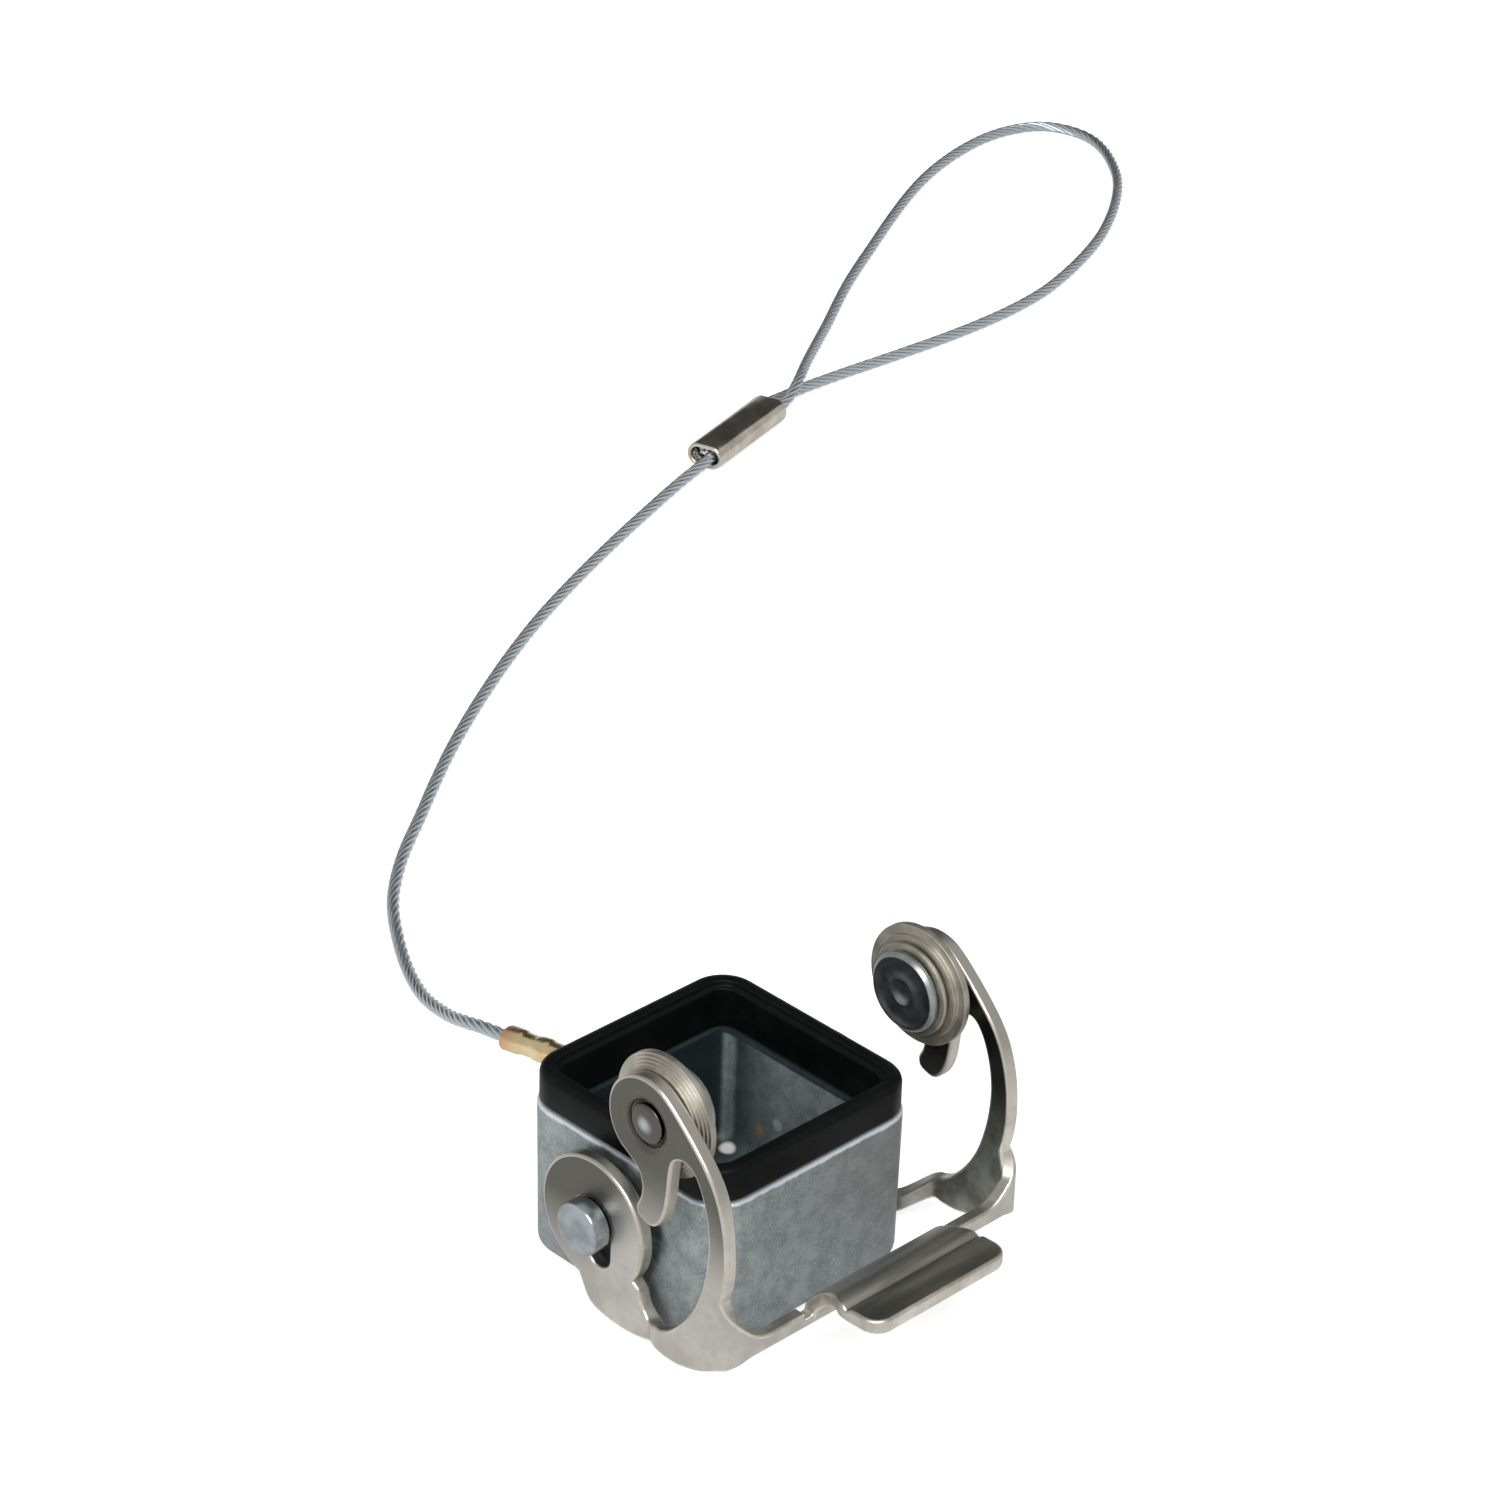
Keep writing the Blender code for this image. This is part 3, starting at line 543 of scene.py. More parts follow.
def layRope(spec):
    line = ropeRoute(spec)
    stations, length = ropeStations(line, spec["lay"] / spec["perLay"])
    strand = spec["diameter"] / 6
    curve = bpy.data.curves.new("lanyardRope", "CURVE")
    curve.dimensions = "3D"
    curve.bevel_depth = strand * 1.03 * mm
    curve.bevel_resolution = 3
    curve.use_fill_caps = True
    for number in range(spec["strands"]):
        spline = curve.splines.new("POLY")
        spline.points.add(len(stations) - 1)
        for i, (spot, side, up) in enumerate(stations):
            turn = tau * (number / spec["strands"] + i / spec["perLay"])
            centre = spot + (side * cos(turn) + up * sin(turn)) * (spec["diameter"] / 2 - strand)
            spline.points[i].co = (*(centre * mm), 1)
    drawn = newObject("ropeCurve", curve)
    graph = bpy.context.evaluated_depsgraph_get()
    mesh = bpy.data.meshes.new_from_object(drawn.evaluated_get(graph))
    bpy.data.objects.remove(drawn)
    weldSeams(mesh)
    mesh.materials.clear()
    mesh.materials.append(galvanisedWire(wire))
    mesh.shade_smooth()
    piece = settle(newObject("lanyardRope", mesh), "cover", "lanyard_rope")
    return piece, line, length


def pressSleeve(spec):
    bm = bmesh.new()
    bmesh.ops.create_circle(bm, segments=48, radius=spec["outer"], cap_ends=True)
    for vert in bm.verts:
        vert.co.x += spec["spread"] * (1 if vert.co.x > 1e-4 else -1 if vert.co.x < -1e-4 else 0)
    cap = bm.faces[:][0]
    bmesh.ops.inset_region(bm, faces=[cap], thickness=spec["outer"] - spec["bore"],
                           use_even_offset=True, use_boundary=True)
    bmesh.ops.delete(bm, geom=[cap], context="FACES_ONLY")
    ends = bmesh.ops.extrude_face_region(bm, geom=bm.faces[:])
    far = [v for v in ends["geom"] if isinstance(v, bmesh.types.BMVert)]
    bmesh.ops.translate(bm, vec=(0, 0, spec["length"]), verts=far)
    bmesh.ops.recalc_face_normals(bm, faces=bm.faces)
    roundEdges(bm, sharpEdges(bm, 60), spec["lip"], 4)
    lay = Matrix(((0, 0, 1), (1, 0, 0), (0, 1, 0))).to_4x4()      # length along X, width along Y
    turn = Matrix.Rotation(radians(spec["turn"]), 4, "Z")
    place = Matrix.Translation((*spec["start"], spec["height"]))
    bmesh.ops.transform(bm, matrix=place @ turn @ lay, verts=bm.verts)
    steel = platedSheet("ferrulePlate", plates["ferrulePlate"], stretch=(0.12, 0.3, 1))
    return addPiece("ropeSleeve", bm, steel, "cover", "rope_ferrule")


lanyard, routePoints, ropeLength = layRope(rope)
ropeSleeve = pressSleeve(sleeve)
sunken(rope["mouth"]) * mm
round(ropeLength * mm, 4)
[point * mm for point in routePoints]
print("rope laid:", round(ropeLength), "mm,", len(lanyard.data.polygons), "faces")


# ---- cup ----

cup = {
    "half": 13.5, "height": 16.6, "corner": 4.0, "draft": 0.15, "foot": 1.3, "rimWall": 1.3,
    "seat": 15.1, "wall": 2.8, "floor": 2.4, "fillet": 1.4, "ease": 0.28,
    "boss": 5.5, "bossRise": 1.2, "pivot": 10.4, "studBore": 2.4, "studSeat": 3.1,
    "terminalBore": 1.4, "terminalSeat": 2.2,
    # how the boss flares at its foot, as (height over the face, extra radius)
    "flare": [(-0.02, 0.45), (0.05, 0.25), (0.17, 0.08), (0.4, 0)],
}


def roundedBlock(bm, half, low, high, corner, segments):
    bmesh.ops.create_cube(bm, size=1, matrix=Matrix.Translation((0, 0, (low + high) / 2))
                          @ Matrix.Diagonal((2 * half, 2 * half, high - low, 1)))
    upright = [e for e in bm.edges if abs(e.verts[0].co.z - e.verts[1].co.z) > (high - low) / 2]
    roundEdges(bm, upright, corner, segments)
    ordered = sorted(bm.faces, key=lambda f: f.calc_center_median().z)
    return ordered[0], ordered[-1]


# each step pulls the cap in by an inset, or carries it up or down by a rise
def stepCap(bm, cap, steps):
    for inset, rise in steps:
        if inset:
            bmesh.ops.inset_region(bm, faces=[cap], thickness=inset, use_even_offset=True)
        else:
            made = bmesh.ops.extrude_face_region(bm, geom=[cap])
            bmesh.ops.delete(bm, geom=[cap], context="FACES_ONLY")
            cap = next(item for item in made["geom"] if isinstance(item, bmesh.types.BMFace))
        bmesh.ops.translate(bm, vec=(0, 0, rise), verts=cap.verts)
    return cap


def castCup(spec):
    bm = bmesh.new()
    half, height = spec["half"], spec["height"]
    foot, top = roundedBlock(bm, half, 0, height, spec["corner"], 14)
    shrink = 1 - spec["draft"] / half
    bmesh.ops.scale(bm, vec=(shrink, shrink, 1), verts=foot.verts)
    well = stepCap(bm, top, [(spec["rimWall"], 0), (0, spec["seat"] - height),
                             (spec["wall"] - spec["rimWall"], 0),
                             (0, spec["floor"] + spec["fillet"] - spec["seat"])])
    inner = half - spec["wall"]
    for step in range(1, 6):                                      # fillet between wall and floor
        turn, last = step / 5 * pi / 2, (step - 1) / 5 * pi / 2
        well = stepCap(bm, well, [(0, -spec["fillet"] * (sin(turn) - sin(last)))])
        reach, before = (inner - spec["fillet"] * (1 - cos(t)) for t in (turn, last))
        ratio = reach / before
        bmesh.ops.scale(bm, vec=(ratio, ratio, 1), verts=well.verts)
    roundEdges(bm, list(foot.edges), spec["foot"], 6)
    rim = [e for e in sharpEdges(bm, 55) if min(v.co.z for v in e.verts) > height - 0.01]
    roundEdges(bm, rim, spec["ease"], 3)
    bmesh.ops.recalc_face_normals(bm, faces=bm.faces)
    piece = addPiece("castCup", bm, castingPaint(paint), "cover", "cover_housing")
    boreCup(piece, spec)


# the bosses are joined on, and the seats of the studs and the terminal bored
def boreCup(piece, spec):
    half, boss = spec["half"], spec["boss"]
    deep, face = half - 1.0, half + spec["bossRise"]
    flare = [(deep, 0), (deep, boss + 0.5)]
    flare += [(half + up, boss + wider) for up, wider in spec["flare"]]
    flare += [(face - 0.3, boss), (face - 0.09, boss - 0.09), (face, boss - 0.3), (face, 0)]
    tools = []
    for side in (-1, 1):
        tools.append(("UNION", spinProfile(flare, (0, 0, spec["pivot"]), (side, 0, 0), 64)))
    drill = holeProfile(face, spec["studSeat"], spec["studBore"])
    for side in (-1, 1):
        tools.append(("DIFFERENCE", spinProfile(drill, (0, 0, spec["pivot"]), (side, 0, 0), 47)))
    socket = holeProfile(half, spec["terminalSeat"], spec["terminalBore"])
    tools.append(("DIFFERENCE", spinProfile(socket, (0, 0, rope["seat"]), (0, 1, 0), 32)))
    cutters = []
    for operation, tool in tools:
        cutters.append(newObject("cutter", toMesh("cutter", tool)))
        step = piece.modifiers.new(operation, "BOOLEAN")
        step.operation, step.solver, step.object = operation, "EXACT", cutters[-1]
    bakeModifiers(piece)
    for cutter in cutters:
        bpy.data.objects.remove(cutter)
    piece.data.shade_smooth()
    piece.data.set_sharp_from_angle(angle=crease)


# a blind hole, bored into a face from 2 mm outside it
def holeProfile(face, depth, radius):
    return [(face - depth, 0), (face - depth, radius), (face + 2, radius), (face + 2, 0)]


castCup(cup)
print("cup cast")


# ---- gasket ----

gasket = {
    "outer": 13.3, "corner": 3.8, "foot": 16.9, "top": 20.3, "bevel": 0.7, "land": 11.75,
    "step": 0.55, "inner": 11.2, "skirt": 11.9, "seat": 15.4, "ease": 0.14,
}


def mouldGasket(spec):
    bm = bmesh.new()
    outer, bevel = spec["outer"], spec["bevel"]
    under, top = roundedBlock(bm, outer, spec["foot"], spec["top"] - bevel, spec["corner"], 14)
    mouth = stepCap(bm, top, [(0, 0.001), (bevel * 0.12, bevel * 0.45), (bevel * 0.3, bevel * 0.38),
                              (bevel * 0.58, bevel * 0.17), (outer - bevel - spec["land"], 0),
                              (0.1, -spec["step"]), (spec["land"] - spec["inner"] - 0.1, -0.1),
                              (0, spec["seat"] - spec["top"] + spec["step"] + 0.1)])
    hole = stepCap(bm, under, [(outer - spec["skirt"], 0), (0, spec["seat"] - spec["foot"]),
                               (spec["skirt"] - spec["inner"], 0)])
    bmesh.ops.delete(bm, geom=[mouth, hole], context="FACES_ONLY")
    bmesh.ops.remove_doubles(bm, verts=bm.verts, dist=0.004)
    bmesh.ops.recalc_face_normals(bm, faces=bm.faces)
    roundEdges(bm, sharpEdges(bm, 55), spec["ease"], 3)
    addPiece("rimGasket", bm, mouldedRubber(rubber), "cover", "rim_gasket")


mouldGasket(gasket)
print("gasket moulded")


# ---- lever ----

lever = {
    "sheet": 1.5, "ease": 0.32, "pivot": 10.4, "lobePlane": 15.75, "armPlane": 18.55,
    "joggle": (-7.7, -12.3), "planes": 10, "front": -20.2, "bend": 1.0,
    "lobe": 6.9, "hole": 2.5, "slot": (-1.0, 7.2, 1.4), "head": (-9.8, 27.5), "headRadius": 4.9,
    "dish": [(3.35, 0), (3.1, 0.06), (2.98, 0.2), (2.86, 0.4), (2.74, 0.54), (2.5, 0.6),
             (1.8, 0.6)],           # radius and depth
    "armFrom": (-8, 15),            # forwards of this and above this, all is arm
    "corner": (5.5, 7.1, 13.0),     # heights where the sheet turns round the front corner
    "bar": (6.75, 7.65, 8.4),       # heights of the bar across the front
    # painted shade on the sheet's outside, inside and edges, darker upward: from a height, to a
    # height, shade
    "heightShade": (12.5, 24.0, (0.15, 0.145, 0.127)),
    "backHeightShade": (11.5, 21.0, (0.06, 0.058, 0.05)),
    "edgeHeightShade": (13.0, 27.0, (0.6, 0.57, 0.51)),
    "relief": 9.8, "tab": 8.8, "tabFoot": 7.9, "tabRise": 2.2, "bead": (4.85, 0.62, 0.32),
    "foot": [(0.2, -9.2), (-2.4, -9.95), (-5.5, -9.95), (-8.5, -9.3), (-9.8, -8.3), (-11.5, -7.1),
             (-13.1, -7.2), (-15.0, -7.1), (-17.6, -6.3), (-20.2, -4.9)],
    "nape": [(-20.2, 2.6), (-20.55, 4.0), (-20.8, 6.2), (-20.75, 8.4), (-20.5, 10.4),
             (-20.0, 12.4), (-19.2, 14.3), (-18.05, 16.0), (-16.5, 17.7), (-14.8, 19.3),
             (-13.4, 20.5)],
    "finger": [(-7.9, 12.6), (-8.95, 11.8), (-9.45, 10.5), (-9.35, 9.1), (-8.85, 7.9),
               (-9.05, 6.95), (-9.9, 6.5), (-10.95, 6.4), (-11.95, 7.2), (-12.7, 8.9),
               (-13.05, 11.1), (-13.25, 13.3), (-13.6, 14.7), (-14.6, 15.4), (-15.8, 15.25),
               (-16.8, 14.1), (-17.6, 12.3), (-18.1, 10.3), (-18.3, 8.0), (-18.0, 4.8),
               (-17.1, 1.4), (-15.7, -1.3), (-13.8, -3.6), (-12.4, -4.5), (-11.5, -4.8),
               (-9.9, -6.3), (-8.8, -7.1), (-7.95, -7.15), (-7.25, -6.5), (-6.8, -5.6),
               (-6.45, -4.6)],
    # the corner's fall from its full height to the bar, by the length run round it
    "fall": [(0, 1.0, 1.0), (0.39, .85, .8), (0.79, .7, .5), (1.18, .55, .25), (1.57, .41, .1),
             (2.27, .26, 0), (2.97, .14, 0), (3.87, .04, 0), (4.87, 0, 0)],
    "runs": (1.95, 2.27, 2.6, 2.97, 3.4, 3.87, 4.4, 4.87),      # columns past the corner
    # the thumb tab's rows: how far out, share of its rise, how much wider
    "rows": [(0.1, 0.12, -0.1), (0.5, 0.4, -0.35), (1.1, 0.64, -0.6), (1.8, 0.82, -0.75),
             (2.5, 0.94, -0.65), (3.2, 1, -0.3), (3.8, 1, 0), (4.2, 1, 0.1), (4.5, 1, 0.15),
             (4.7, 1, 0.15), (4.85, 1, 0.15), (5.0, 1, 0.15), (5.2, 1, 0.15), (5.5, 1, 0.15),
             (6.4, 1.02, 0.15), (7.1, 1.03, 0.15), (7.7, 1.03, 0), (8.15, 1.03, -0.25),
             (8.5, 1.03, -0.6), (8.75, 1.03, -1.05), (8.9, 1.03, -1.6)],
}


def arc(centre, radius, start, stop, steps):
    turns = [radians(start + (stop - start) * i / steps) for i in range(steps + 1)]
    return [Vector((centre[0] + radius * cos(t), centre[1] + radius * sin(t))) for t in turns]


# drops points that crowd one another, so that the eased edge has room
def spaced(points, gap=0.26):
    kept = [points[0]]
    for point in points[1:-1]:
        if (point - kept[-1]).length > gap and (point - points[-1]).length > gap:
            kept.append(point)
    return kept + [points[-1]]


# below the pivot, points in the joggle are moved on to the planes that it bends at
def onPlanes(points, planes, pivot):
    kept = []
    for point, after in zip(points, points[1:] + points[-1:]):
        if point.y > pivot or not planes[-1] - 0.3 < point.x < planes[0] + 0.3:
            kept.append(point)
        for plane in planes if after.x < point.x else planes[::-1]:
            if point.y < pivot and (point.x - plane) * (after.x - plane) < 0:
                kept.append(point.lerp(after, (plane - point.x) / (after.x - point.x)))
    return kept


def wireLoop(bm, points):
    verts = [bm.verts.new((0, p[0], p[1])) for p in points]
    return [bm.edges.new((verts[i - 1], verts[i])) for i in range(len(verts))]


# the flat side of the lever: lobe, crooked arm, round head and hooking finger in one outline
def sidePlate(bm, spec):
    pivot = spec["pivot"]

    def above(points):
        return [Vector((y, pivot + z)) for y, z in points]

    start, stop = spec["joggle"]
    count = spec["planes"]
    planes = [start + (stop - start) * k / count for k in range(-1, count + 2)]
    lobe = arc((0, pivot), spec["lobe"], 215, -75, 60)
    foot = onPlanes(spaced(smoothLine([lobe[-1]] + above(spec["foot"]), 8)), planes, pivot)[1:]
    front = [Vector((spec["front"], spec["corner"][1]))]
    head = arc(spec["head"], spec["headRadius"], 120, -50, 40)
    nape = spaced(smoothLine(above(spec["nape"]) + [head[0]], 8))[:-1]
    finger = spaced(smoothLine([head[-1]] + above(spec["finger"]) + [lobe[0]], 8))
    finger = onPlanes(finger, planes, pivot)[1:-1]
    edges = wireLoop(bm, lobe + foot + front + nape + head[1:] + finger)
    out, down, slotEnd = spec["slot"]
    keyhole = arc((0, pivot), spec["hole"], -36, 182, 30) + arc((out, down), slotEnd, 182, 324, 14)
    edges += wireLoop(bm, keyhole)
    edges += wireLoop(bm, arc(spec["head"], spec["dish"][0][0], 0, 352.5, 47))
    bmesh.ops.triangle_fill(bm, use_beauty=True, use_dissolve=False, edges=edges, normal=(1, 0, 0))
    for plane in planes:
        low = [face for face in bm.faces if min(v.co.z for v in face.verts) < pivot]
        edges = dict.fromkeys(edge for face in low for edge in face.edges)
        verts = dict.fromkeys(vert for face in low for vert in face.verts)
        bmesh.ops.bisect_plane(bm, geom=[*low, *edges, *verts], dist=0.0005,
                               plane_co=(0, plane, 0), plane_no=(0, 1, 0))
    before, over = spec["armFrom"]
    for vert in bm.verts:
        _, y, z = vert.co
        share = min(max((y - start) / (stop - start), 0), 1)
        if z > pivot + spec["lobe"] + 0.2 or (z > over and y < before):
            share = 1
        share = share * share * (3 - 2 * share)
        vert.co.x = spec["lobePlane"] + (spec["armPlane"] - spec["lobePlane"]) * share


def pressDish(bm, spec):
    centre = Vector((spec["armPlane"], *spec["head"]))
    reach = spec["dish"][0][0] + 0.01
    rim = [e for e in bm.edges if e.is_boundary
           and all((v.co - centre).length < reach for v in e.verts)]
    for (last, deep), (radius, deeper) in zip(spec["dish"], spec["dish"][1:]):
        verts, rim = pullEdges(bm, rim)
        ratio = radius / last
        bmesh.ops.scale(bm, vec=(1, ratio, ratio), space=Matrix.Translation(-centre), verts=verts)
        bmesh.ops.translate(bm, vec=(deep - deeper, 0, 0), verts=verts)


# pulls a column of edges on, and sets the heights of its points
def pullColumn(bm, edges, heights, move=None, turn=None, about=None):
    verts, column = pullEdges(bm, edges)
    if turn:
        bmesh.ops.rotate(bm, verts=verts, cent=about, matrix=Matrix.Rotation(turn, 3, "Z"))
    if move:
        bmesh.ops.translate(bm, vec=move, verts=verts)
    for vert, height in zip(sorted(verts, key=lambda v: v.co.z), heights):
        vert.co.z = height
    return column


# the heights of the sheet's foot, middle and top at a length run round the corner
def columnHeights(spec, run):
    fall = spec["fall"]
    for (start, high0, low0), (stop, high1, low1) in zip(fall, fall[1:]):
        if run <= stop + 1e-6:
            t = (run - start) / (stop - start)
            high, low = high0 + (high1 - high0) * t, low0 + (low1 - low0) * t
            break
    foot = spec["bar"][0] + (spec["corner"][0] - spec["bar"][0]) * low
    return foot, spec["bar"][1], spec["bar"][2] + (spec["corner"][2] - spec["bar"][2]) * high


def bendBar(bm, spec):
    front, bend = spec["front"], spec["bend"]
    top = spec["corner"][2] + 1e-3
    column = [e for e in bm.edges if e.is_boundary
              and all(abs(v.co.y - front) < 1e-3 and v.co.z < top for v in e.verts)]
    about = (spec["armPlane"] - bend, front, 0)
    turns = 8
    for step in range(1, turns + 1):
        run = bend * pi / 2 * step / turns
        column = pullColumn(bm, column, columnHeights(spec, run), turn=-pi / 2 / turns, about=about)
    edge, last = spec["armPlane"] - bend, bend * pi / 2
    for run in (*spec["runs"], edge - spec["relief"] + bend * pi / 2):
        heights = columnHeights(spec, min(run, spec["runs"][-1]))
        column = pullColumn(bm, column, heights, move=(last - run, 0, 0))
        last = run
    lower = [min(column, key=lambda e: sum(v.co.z for v in e.verts))]
    x = spec["relief"]
    for stop in (spec["tab"], spec["tab"] * 2 / 3, spec["tab"] / 3, 0):
        lower = pullColumn(bm, lower, spec["bar"][:2], move=(stop - x, 0, 0))
        x = stop


def pressTab(bm, spec):
    level, wall, end = spec["bar"][1], spec["front"] - spec["bend"], spec["tab"] + 1e-3
    row = [e for e in bm.edges if all(abs(v.co.z - level) < 1e-3 and abs(v.co.y - wall) < 1e-3
                                      and v.co.x < end for v in e.verts)]
    out, up, half = 0, level, spec["tab"]
    for far, share, wider in spec["rows"]:
        verts, row = pullEdges(bm, row)
        height, wide = spec["tabFoot"] + spec["tabRise"] * share, spec["tab"] + wider
        bmesh.ops.translate(bm, vec=(0, out - far, height - up), verts=verts)
        bmesh.ops.scale(bm, vec=(wide / half, 1, 1), verts=verts)
        out, up, half = far, height, wide


# leaves whole faces where the sheet is flat, so that the eased edge finds no slivers
def joinFlats(mesh):
    bm = bmesh.new()
    bm.from_mesh(mesh)
    bmesh.ops.dissolve_limit(bm, angle_limit=radians(0.6), use_dissolve_boundaries=False,
                             verts=bm.verts, edges=bm.edges, delimit={"MATERIAL"})
    bm.to_mesh(mesh)
    bm.free()


# a shallow groove across the top of the tab
def pressBead(mesh, spec):
    place, half, depth = spec["bead"]
    line = spec["front"] - spec["bend"] - place
    floor = spec["tabFoot"] + spec["tabRise"]
    for vert in mesh.vertices:
        _, y, z = vert.co / mm
        share = 1 - abs(y - line) / half
        if share > 0 and z > floor:
            vert.co.z -= depth * mm * (3 - 2 * share) * share ** 2


def bendLever(spec):
    bm = bmesh.new()
    sidePlate(bm, spec)
    pressDish(bm, spec)
    bendBar(bm, spec)
    pressTab(bm, spec)
    bmesh.ops.remove_doubles(bm, verts=bm.verts, dist=0.004)
    bmesh.ops.mirror(bm, geom=bm.verts[:] + bm.edges[:] + bm.faces[:], axis="X", merge_dist=0.01)
    bmesh.ops.recalc_face_normals(bm, faces=bm.faces)
    steel = platedSheet("nickelPlate", plates["nickelPlate"], spec["heightShade"])
    piece = addPiece("lockingLever", bm, steel, "lever", "locking_lever")
    # a darker copy of the plate goes on the sheet's back as painted shade, and a lighter copy on
    # its edges as painted highlight
    for name, key in (("nickelShadedBack", "backHeightShade"), ("nickelLitEdge", "edgeHeightShade")):
        piece.data.materials.append(platedSheet(name, plates[name], spec[key]))
    thick = piece.modifiers.new("sheet", "SOLIDIFY")
    thick.material_offset, thick.material_offset_rim = 1, 2
    thick.thickness = spec["sheet"] * mm
    thick.offset = 0
    thick.use_even_offset = True
    bakeModifiers(piece)
    pressBead(piece.data, spec)
    joinFlats(piece.data)
    easeEdges(piece, spec["ease"], slot=2)
    bakeModifiers(piece)


bendLever(lever)
print("lever bent")


# ---- turned parts ----

stud = {"seat": 11.9, "shank": 2.1, "under": 16.8, "head": 2.75, "end": 18.6, "chamfer": 0.4}
roller = {"collarBore": 3.9, "ribs": [(17.7, 5.0), (17.5, 5.3), (17.3, 5.6), (17.1, 5.9)],
          "back": 16.9, "hub": 16.2, "front": 15.7, "flange": 6.2, "hubRadius": 5.3, "bore": 1.8}
washer = {"back": 15.4, "front": 15.0, "radius": 4.7, "bore": 1.8}
rivet = {
    "front": 14.0, "shoulder": 14.7, "face": 4.1, "shank": 1.5, "tail": 2.0, "seat": 19.0,
    "end": 19.4,
    "dimple": [(0.28, 0), (0.22, 0.8), (0.02, 1.15), (0, 1.5), (0.1, 1.85)],    # depth, radius
    "groove": [(0.12, 0.9), (0, 0.6), (0, 0.35), (0.35, 0)],                    # depth, from rim
    "dome": [(0.17, 0.25), (0.08, 0.7), (0.02, 1.3)],
}


def studProfile(s):
    shank, head, chamfer, end = s["shank"], s["head"], s["chamfer"], s["end"]
    return [(s["seat"], 0), (s["seat"], shank), (s["under"], shank), (s["under"], head),
            (end - chamfer, head), (end - chamfer / 3, head - chamfer / 3),
            (end - 0.06, head - chamfer), (end - 0.02, head * 0.55), (end, 0)]


def rollerProfile(s):
    back, front, ribs = s["back"], s["front"], s["ribs"]
    steps = [(back, s["bore"]), (back, s["collarBore"]), (ribs[0][0], s["collarBore"])]
    for (face, radius), (after, _) in zip(ribs, ribs[1:] + [(back, 0)]):
        steps += [(face, radius), (after, radius)]
    return steps + [(back, s["flange"]), (s["hub"], s["flange"]), (s["hub"], s["hubRadius"]),
                    (front, s["hubRadius"]), (front, s["bore"])]


def washerProfile(s):
    return [(s["back"], s["bore"]), (s["back"], s["radius"]),
            (s["front"], s["radius"]), (s["front"], s["bore"])]


def rivetProfile(s):
    front = [(s["front"] + deep, radius) for deep, radius in s["dimple"]]
    front += [(s["front"] + deep, s["face"] - inwards) for deep, inwards in s["groove"]]
    shank = [(s["shoulder"], s["face"]), (s["shoulder"], s["shank"]), (s["seat"], s["shank"])]
    tail = [(s["seat"], s["tail"]), (s["seat"] + 0.1, s["tail"])]
    tail += [(s["end"] - deep, s["tail"] - inwards) for deep, inwards in s["dome"]]
    return front + shank + tail + [(s["end"], 0)]


def turnParts():
    headAt = (0, *lever["head"])
    pivotAt = (0, 0, lever["pivot"])
    studZinc = turnedPlate("studZinc", plates["zincPlate"], pivotAt)
    rivetZinc = turnedPlate("rivetZinc", plates["rivetPlate"], headAt, 0.3)
    rollerNickel = turnedPlate("rollerNickel", plates["rollerPlate"], headAt, 0.3)
    for side, word in ((-1, "left"), (1, "right")):
        parts = [("pivotStud", studProfile(stud), pivotAt, studZinc,
                  "cover", "zinc_steel", "pivot_stud_", 0),
                 ("guideRoller", rollerProfile(roller), headAt, rollerNickel,
                  "roller_" + word, "nickel_steel", "guide_roller_", 0.06),
                 ("guideWasher", washerProfile(washer), headAt, rollerNickel,
                  "lever", "zinc_steel", "guide_washer_", 0.08),
                 ("rollerRivet", rivetProfile(rivet), headAt, rivetZinc,
                  "lever", "zinc_steel", "roller_rivet_", 0.05)]
        for name, profile, centre, metal, body, slot, node, ease in parts:
            bm = spinProfile(profile, centre, (side, 0, 0), ease=ease)
            addPiece(name + word.capitalize(), bm, metal, body, node + word)


turnParts()
print("studs, rollers, washers and rivets turned")


# ---- rope terminal ----

terminal = {
    "tail": 11.6, "flangeAt": 13.8, "neckAt": 14.8, "barrelAt": 19.5, "end": 30.2, "shank": 1.1,
    "flange": 2.0, "neck": 0.9, "barrel": 1.35, "socket": 1.0, "socketDepth": 3.0,
    # where along the barrel it is crimped, how deep, and the shape of a crimp along it
    "crimps": (0.32, 0.68), "crimp": 0.15,
    "crimpShape": [(-1.4, 0), (-1.15, .35), (-0.9, .85), (-0.6, 1), (0, 1), (0.6, 1), (0.9, .85),
                   (1.15, .35), (1.4, 0)],
}


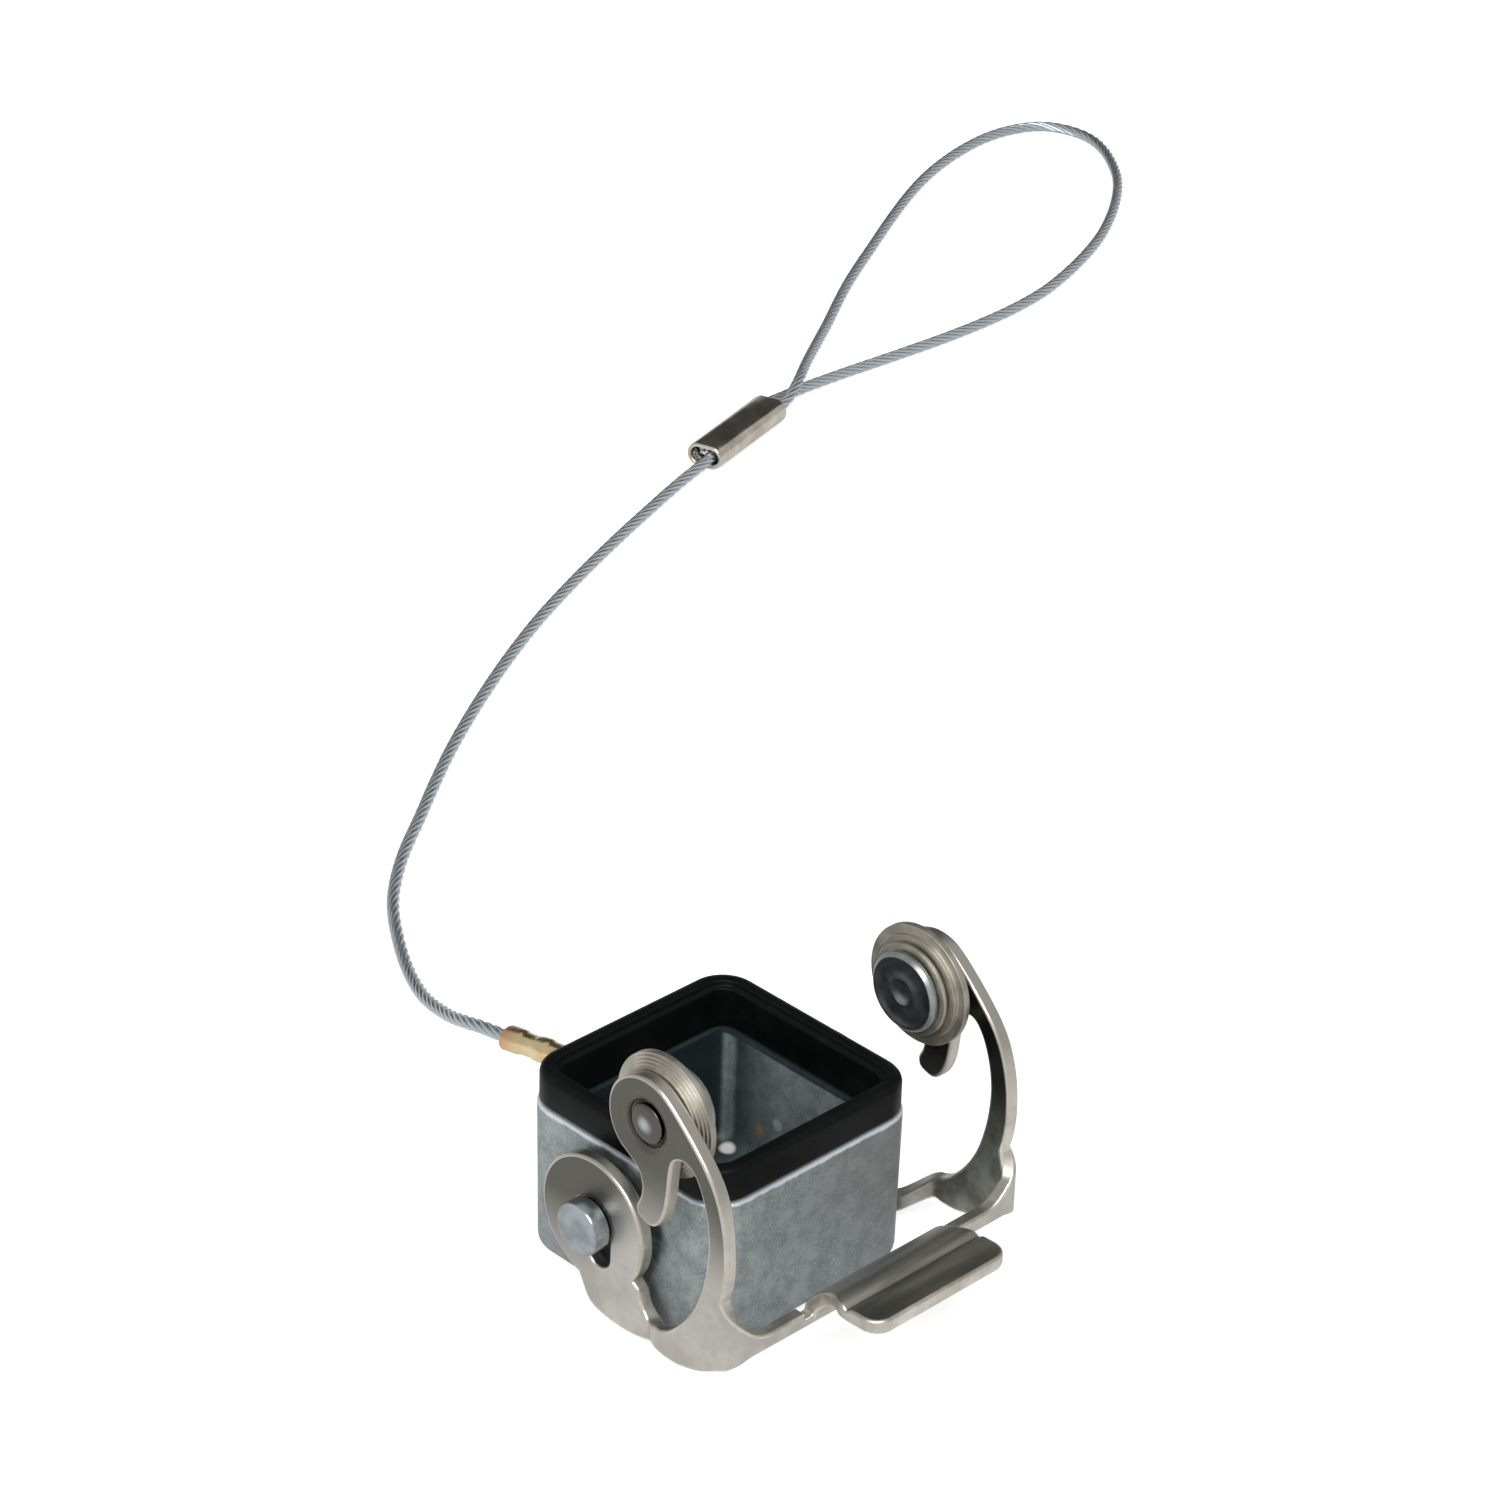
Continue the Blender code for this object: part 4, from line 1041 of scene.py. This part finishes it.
def crimpTerminal(s):
    neckAt, barrelAt, end = s["neckAt"], s["barrelAt"], s["end"]
    shank, flange, neck, barrel = s["shank"], s["flange"], s["neck"], s["barrel"]
    profile = [(s["tail"], 0), (s["tail"], shank), (s["flangeAt"], shank), (s["flangeAt"], flange),
               (neckAt - 0.25, flange), (neckAt, flange - 0.25), (neckAt, neck)]
    profile += [(neckAt + 0.47 * k, neck) for k in range(1, 10)]
    profile += [(barrelAt - 0.15, neck + 0.2), (barrelAt + 0.1, barrel - 0.08),
                (barrelAt + 0.4, barrel)]
    for share in s["crimps"]:
        middle = barrelAt + (end - barrelAt) * share
        profile += [(middle + offset, barrel - s["crimp"] * depth)
                    for offset, depth in s["crimpShape"]]
    profile += [(end - 0.2, barrel), (end - 0.05, barrel - 0.05), (end, barrel - 0.16),
                (end, s["socket"] + 0.06), (end - 0.08, s["socket"]),
                (end - s["socketDepth"], s["socket"]), (end - s["socketDepth"], 0)]
    bm = spinProfile(profile, (0, 0, rope["seat"]), (0, 1, 0), 64)
    for vert in bm.verts:
        vert.co.z += sunken(vert.co.y) - rope["seat"]
    addPiece("ropeTerminal", bm, drawnBrass(brassTube), "cover", "rope_terminal")


crimpTerminal(terminal)
print("terminal crimped")


# ---- studio ----

studio = {
    "floor": (0.80, 0.80, 0.80), "floorHalf": 6, "lift": 0.62, "sky": 0.46,
    # name, place, size and power
    "lamps": [("keyLamp", (-0.35, -0.55, 0.9), 0.6, 5.0),
              ("sideLamp", (-0.8, -0.25, 0.56), 0.36, 3.6)],
    "card": {"place": (0.5, 0.5, 0.42), "size": (1.1, 0.62), "shade": (0.05, 0.052, 0.05)},
}


# the floor lifts itself to the backdrop's tone, for the camera only
def paleFloor(spec):
    bm = bmesh.new()
    bmesh.ops.create_grid(bm, x_segments=1, y_segments=1, size=spec["floorHalf"])
    made = Finish("paleFloor", {"Base Color": spec["floor"], "Emission Color": white,
                                "Roughness": 0.9, "Specular IOR Level": 0.0})
    seen = made.node("ShaderNodeLightPath", {}, {}, out="Is Camera Ray")
    made.feed(made.shader.inputs["Emission Strength"], seen * spec["lift"])
    floor = newObject("floor", toMesh("floor", bm, unit=1))
    floor.data.materials.append(made.material)


# a dark card that shows only in reflections
def darkCard(spec):
    bm = bmesh.new()
    bmesh.ops.create_grid(bm, x_segments=1, y_segments=1, size=0.5)
    bmesh.ops.scale(bm, vec=(*spec["size"], 1), verts=bm.verts)
    turn = (-Vector(spec["place"])).to_track_quat("Z", "Y").to_matrix().to_4x4()
    bmesh.ops.transform(bm, matrix=Matrix.Translation(spec["place"]) @ turn, verts=bm.verts)
    made = Finish("cardBlack", {"Base Color": spec["shade"], "Roughness": 0.9})
    card = newObject("darkCard", toMesh("darkCard", bm, unit=1))
    card.data.materials.append(made.material)
    card.visible_camera = card.visible_shadow = card.visible_diffuse = False


def hangLamp(name, place, size, power):
    light = bpy.data.lights.new(name, "AREA")
    light.shape, light.size, light.energy = "SQUARE", size, power
    turn = (Vector((0, 0, 0.01)) - Vector(place)).to_track_quat("-Z", "Y").to_matrix().to_4x4()
    newObject(name, light).matrix_world = Matrix.Translation(place) @ turn


# the camera sees a white backdrop, and the part is lit by a dimmer sky
def lightStudio(spec):
    scene = bpy.context.scene
    scene.view_settings.view_transform = "Standard"
    scene.world = bpy.data.worlds.new("studio")
    scene.world.use_nodes = True
    world = Graph(scene.world.node_tree)
    sky = world.tree.nodes["Background"]
    world.feed(sky.inputs["Color"], white)
    world.feed(sky.inputs["Strength"], spec["sky"])
    shown = world.node("ShaderNodeBackground", {}, {"Color": white})
    seen = world.node("ShaderNodeLightPath", {}, {}, out="Is Camera Ray")
    lit = Signal(world, sky.outputs[0])
    mix = world.node("ShaderNodeMixShader", {}, {0: seen, 1: lit, 2: shown})
    world.feed(world.tree.nodes["World Output"].inputs["Surface"], mix)
    for lamp in spec["lamps"]:
        hangLamp(*lamp)


paleFloor(studio)
darkCard(studio["card"])
lightStudio(studio)
print("studio lit")
